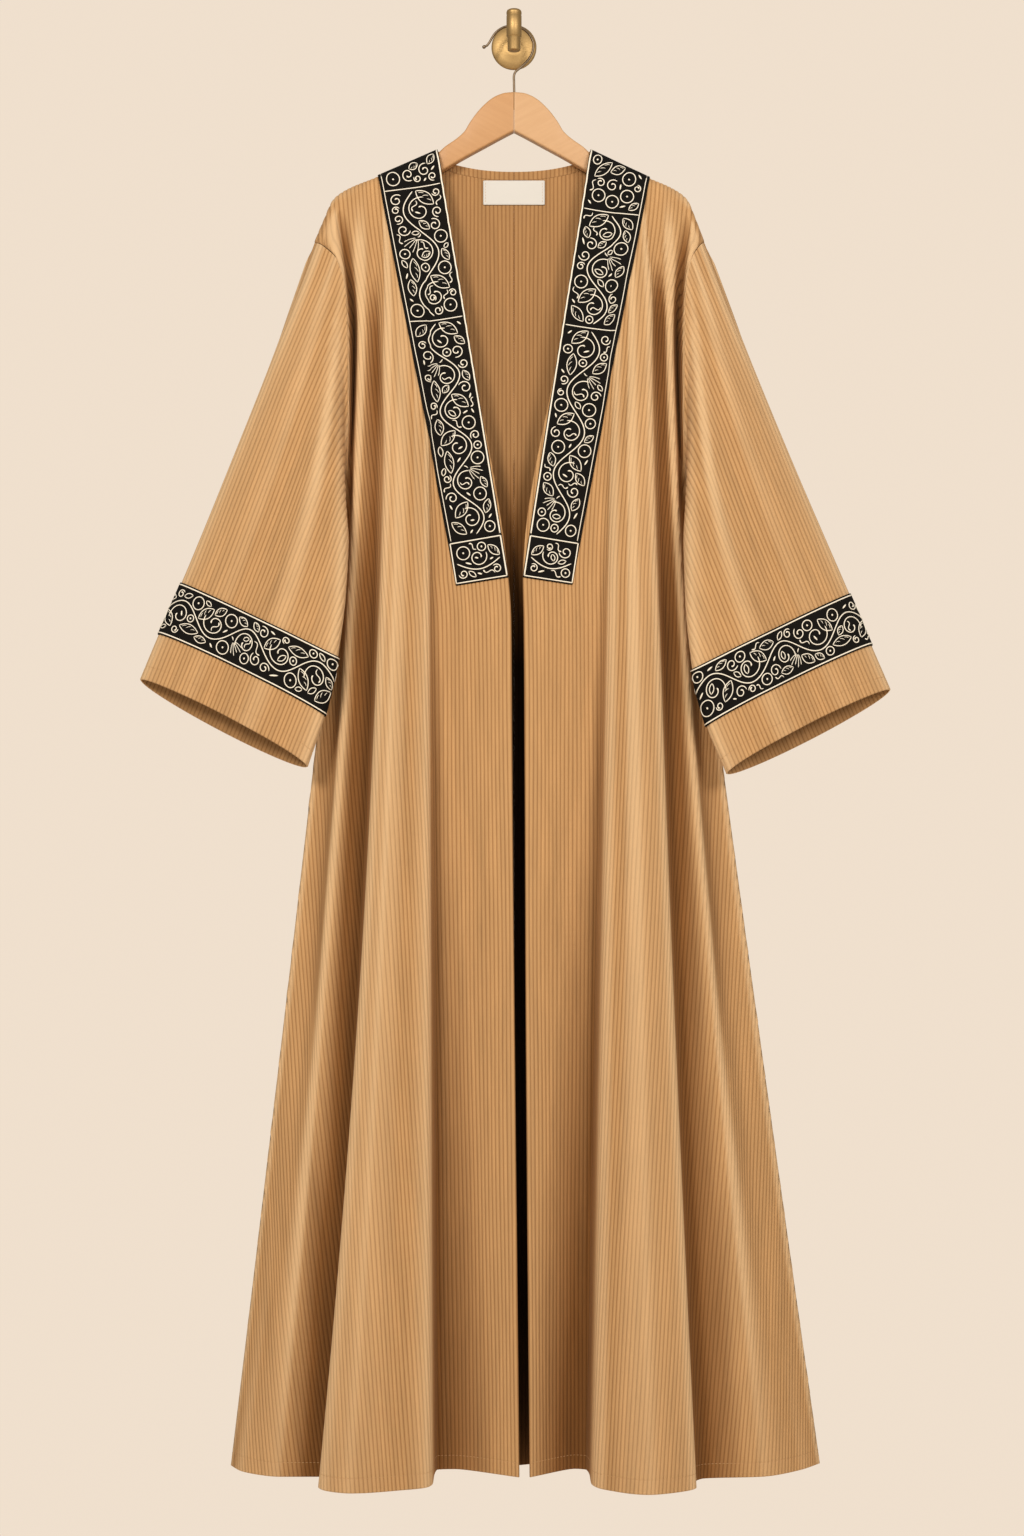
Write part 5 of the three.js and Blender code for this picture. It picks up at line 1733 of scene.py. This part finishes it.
def corduroy_material():
    material, tree, shader = new_material("corduroy", WALE_COLOR[:3], 0.9, specular=0.12)
    shader.inputs["Sheen Weight"].default_value = 0.08
    shader.inputs["Sheen Roughness"].default_value = 0.45
    shader.inputs["Sheen Tint"].default_value = (1.0, 0.86, 0.68, 1)
    cloth = attribute(tree, "cloth", "Vector")
    streaks = noise(tree, cloth, (0.2, 0.012, 1), 4.0)
    cross_marks = noise(tree, cloth, (0.05, 0.5, 1), 2.0)
    # The rib attribute paints shade into each groove.
    ribbed = mixed_color(tree, attribute(tree, "rib"), GROOVE_SHADE_COLOR, WALE_COLOR)
    bands = noise(tree, cloth, (0.07, 0.0035, 1), 3.0)
    shade = add_node(tree, "ShaderNodeMath", {0: streaks, 1: bands}, operation="ADD").outputs[0]
    worn = scaled(tree, ribbed, remap(tree, shade, 0.83, 1.14, 0.6, 1.4))
    marked = mixed_color(tree, remap(tree, cross_marks, -0.1, 0.22), worn, (0.42, 0.22, 0.09, 1))
    # A painted highlight where a fold turns sharply outward.
    lit = mixed_color(tree, remap(tree, attribute(tree, "crest_highlight"), 0.0, 0.45), marked, CREST_HIGHLIGHT_COLOR)
    # Painted shade: darker deep in a fold, and near black where the cloth is closed in.
    is_open = attribute(tree, "open")
    fold_shaded = mixed_color(tree, remap(tree, is_open, 1.0, 0.0, 0.4, 0.64), lit, FOLD_SHADE_COLOR, "MULTIPLY")
    shaded = scaled(tree, fold_shaded, remap(tree, is_open, 0.04, 1.0, 0.05, 0.38))
    tree.links.new(shaded, shader.inputs["Base Color"])
    bumped(tree, shader, noise(tree, cloth, (3.0, 1.0, 1), 2.0), 0.0006, 0.4)
    return material


def band_material():
    material, tree, shader = new_material("band_black", (0.006, 0.005, 0.004), 0.9, specular=0.12)
    cloth = attribute(tree, "cloth", "Vector")
    bumped(tree, shader, noise(tree, cloth, (2.2, 2.2, 1), 2.0), 0.0004, 0.5)
    return material


def cord_material():
    material, tree, shader = new_material("cord_cream", (0.9, 0.82, 0.66), 0.6, specular=0.3)
    cloth = attribute(tree, "cloth", "Vector")
    shade = noise(tree, cloth, (0.6, 0.9, 1), 2.0)
    color = mixed_color(tree, shade, (0.84, 0.74, 0.56, 1), (1.0, 0.95, 0.84, 1))
    tree.links.new(color, shader.inputs["Base Color"])
    bumped(tree, shader, noise(tree, cloth, (1.0, 3.0, 1), 1.0), 0.0003, 0.5)
    return material


def thread_material():
    return new_material("thread_tan", (0.50, 0.29, 0.13), 0.7, specular=0.2)[0]


def label_material():
    material, tree, shader = new_material("label_white", (0.63, 0.6, 0.55), 0.7, specular=0.2)
    cloth = attribute(tree, "cloth", "Vector")
    bumped(tree, shader, noise(tree, cloth, (0.6, 4.0, 1), 1.0), 0.0002, 0.4)
    return material


def wood_material(name, pale, dark, turn):
    material, tree, shader = new_material(name, pale, 0.42, specular=0.35)
    place = add_node(tree, "ShaderNodeTexCoord").outputs["Object"]
    inputs = {"Vector": place, "Rotation": (0, turn, 0)}
    turned_place = add_node(tree, "ShaderNodeMapping", inputs).outputs[0]
    grain = noise(tree, turned_place, (18, 60, 260), 4.0)
    tree.links.new(mixed_color(tree, grain, (*dark, 1), (*pale, 1)), shader.inputs["Base Color"])
    bumped(tree, shader, grain, 0.0002, 0.2)
    return material


def metal_material(name, color, roughness):
    material, tree, shader = new_material(name, color, roughness, metallic=1.0, specular=0.5)
    place = add_node(tree, "ShaderNodeTexCoord").outputs["Object"]
    rough = noise(tree, place, (300, 300, 900), 2.0)
    tree.links.new(remap(tree, rough, roughness - 0.08, roughness + 0.12), shader.inputs["Roughness"])
    return material


# ---------------------------------------------------------------- camera, light and floor
IMAGE_HEIGHT = 1536
FOCAL_PIXELS = 2364
SENSOR = 36.0
CAMERA_AT = (-0.0022, -2.626, -0.8)
FLOOR_DOWN = 2.0
FLOOR = {"half_width": 2.6, "front": -4.4, "back": 1.0}
AIMED_AT = (0, 0, -0.8)
LIGHTS = {
    "key": ((-1.3, -2.9, 0.8), 0.9, 66, (1.0, 0.95, 0.88)),
    "fill": ((1.4, -2.9, 0.6), 1.1, 50, (1.0, 0.95, 0.9)),
    "behind": ((0.9, 2.4, 1.7), 1.2, 55, (1.0, 0.95, 0.9)),
}


def add_camera():
    data = bpy.data.cameras.new("camera")
    data.sensor_fit = "VERTICAL"
    data.sensor_height = SENSOR
    data.lens = SENSOR * FOCAL_PIXELS / IMAGE_HEIGHT
    camera = bpy.data.objects.new("camera", data)
    camera.location = CAMERA_AT
    camera.rotation_euler = (math.radians(90), 0, 0)
    bpy.context.scene.collection.objects.link(camera)
    bpy.context.scene.camera = camera


def add_light(name, location, size, power, color):
    data = bpy.data.lights.new(name, "AREA")
    data.shape = "DISK"
    data.size = size
    data.energy = power
    data.color = color
    light = bpy.data.objects.new(name, data)
    light.location = location
    direction = Vector(AIMED_AT) - Vector(location)
    light.rotation_euler = direction.to_track_quat("-Z", "Y").to_euler()
    bpy.context.scene.collection.objects.link(light)
    return light


def add_world():
    world = bpy.data.worlds.new("studio")
    world.use_nodes = True
    tree = world.node_tree
    tree.nodes.clear()
    seen = add_node(tree, "ShaderNodeBackground", {"Color": (0.868, 0.742, 0.612, 1), "Strength": 1.0})
    light = add_node(tree, "ShaderNodeBackground", {"Color": (1.0, 0.93, 0.84, 1), "Strength": 0.40})
    path = add_node(tree, "ShaderNodeLightPath")
    mix = add_node(tree, "ShaderNodeMixShader")
    tree.links.new(path.outputs["Is Camera Ray"], mix.inputs[0])
    tree.links.new(light.outputs[0], mix.inputs[1])
    tree.links.new(seen.outputs[0], mix.inputs[2])
    output = add_node(tree, "ShaderNodeOutputWorld")
    tree.links.new(mix.outputs[0], output.inputs["Surface"])
    bpy.context.scene.world = world


def add_stage():
    floor_material, _, _ = new_material("floor", (0.8, 0.72, 0.62), 0.7)
    half, front, back = FLOOR["half_width"], FLOOR["front"], FLOOR["back"]
    corners = np.array([(-half, front), (half, front), (half, back), (-half, back)])
    points = np.column_stack([corners, np.full(4, -FLOOR_DOWN)])
    make_object("floor", points, [(0, 1, 2, 3)], floor_material)
    lights = {name: add_light(name, *settings) for name, settings in LIGHTS.items()}
    behind = lights["behind"]
    # It lights the back, and puts no glints on the edges seen from the front.
    behind.data.specular_factor = 0
    behind.visible_glossy = False
    add_world()
    bpy.context.scene.view_settings.view_transform = "Standard"


# ---------------------------------------------------------------- the whole thing
add_camera()
corduroy = corduroy_material()
black, cream, tan_thread = band_material(), cord_material(), thread_material()


def finish_cloth(piece, part, side_name, slot, *trims):
    for obj in (piece, *trims):
        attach(obj, "root")
        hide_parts(f"{part}_{side_name}")


for seed, (side_name, side_sizes) in enumerate(SIDES.items()):
    made, lies_on = clothe(side_name, side_sizes, corduroy)
    for part, piece in made.items():
        trims = []
        if part in lies_on:
            strands = stitch_strands(lies_on[part], HEM_STITCH_ROW)
            stitch_name = f"{part}_{side_name}_stitches"
            trims.append(sweep_cords(stitch_name, strands, side_sizes["sign"], tan_thread))
        finish_cloth(piece, part, side_name, "binding" if part == "neck_binding" else "corduroy", *trims)
    bands, cords = lapel_pieces(side_name, side_sizes, lies_on["front"], black, cream, 20 + seed)
    for part, piece in bands.items():
        finish_cloth(piece, part, side_name, "embroidered_band", cords[part])
    cuff, cuff_cords = cuff_pieces(side_name, side_sizes, lies_on["sleeve"], black, cream, 40 + seed)
    finish_cloth(cuff, "cuff_band", side_name, "embroidered_band", cuff_cords)

label, label_stitches = add_label(label_material(), tan_thread)
for obj in (label, label_stitches):
    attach(obj, "root")
    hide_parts("neck_label")

dark_wood = wood_material("dark_wood", (0.56, 0.305, 0.132), (0.465, 0.235, 0.094), -WOOD_TURN)
light_wood = wood_material("light_wood", (0.61, 0.37, 0.19), (0.53, 0.30, 0.14), WOOD_TURN)
steel = metal_material("wire", (0.235, 0.17, 0.11), 0.5)
brass = metal_material("brass", (0.46, 0.30, 0.125), 0.5)
plate, peg = add_wall_hook(brass)
FITTINGS = {
    "hanger_arm_left": (hanger_arm("hanger_arm_left_wood", -1, dark_wood), "dark_wood"),
    "hanger_arm_right": (hanger_arm("hanger_arm_right_wood", 1, light_wood), "light_wood"),
    "hanger_hook": (add_hook(steel), "wire"),
    "wall_plate": (plate, "brass"),
    "wall_peg": (peg, "brass"),
}
for node, (obj, slot) in FITTINGS.items():
    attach(obj, "root")
    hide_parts(node)
add_stage()
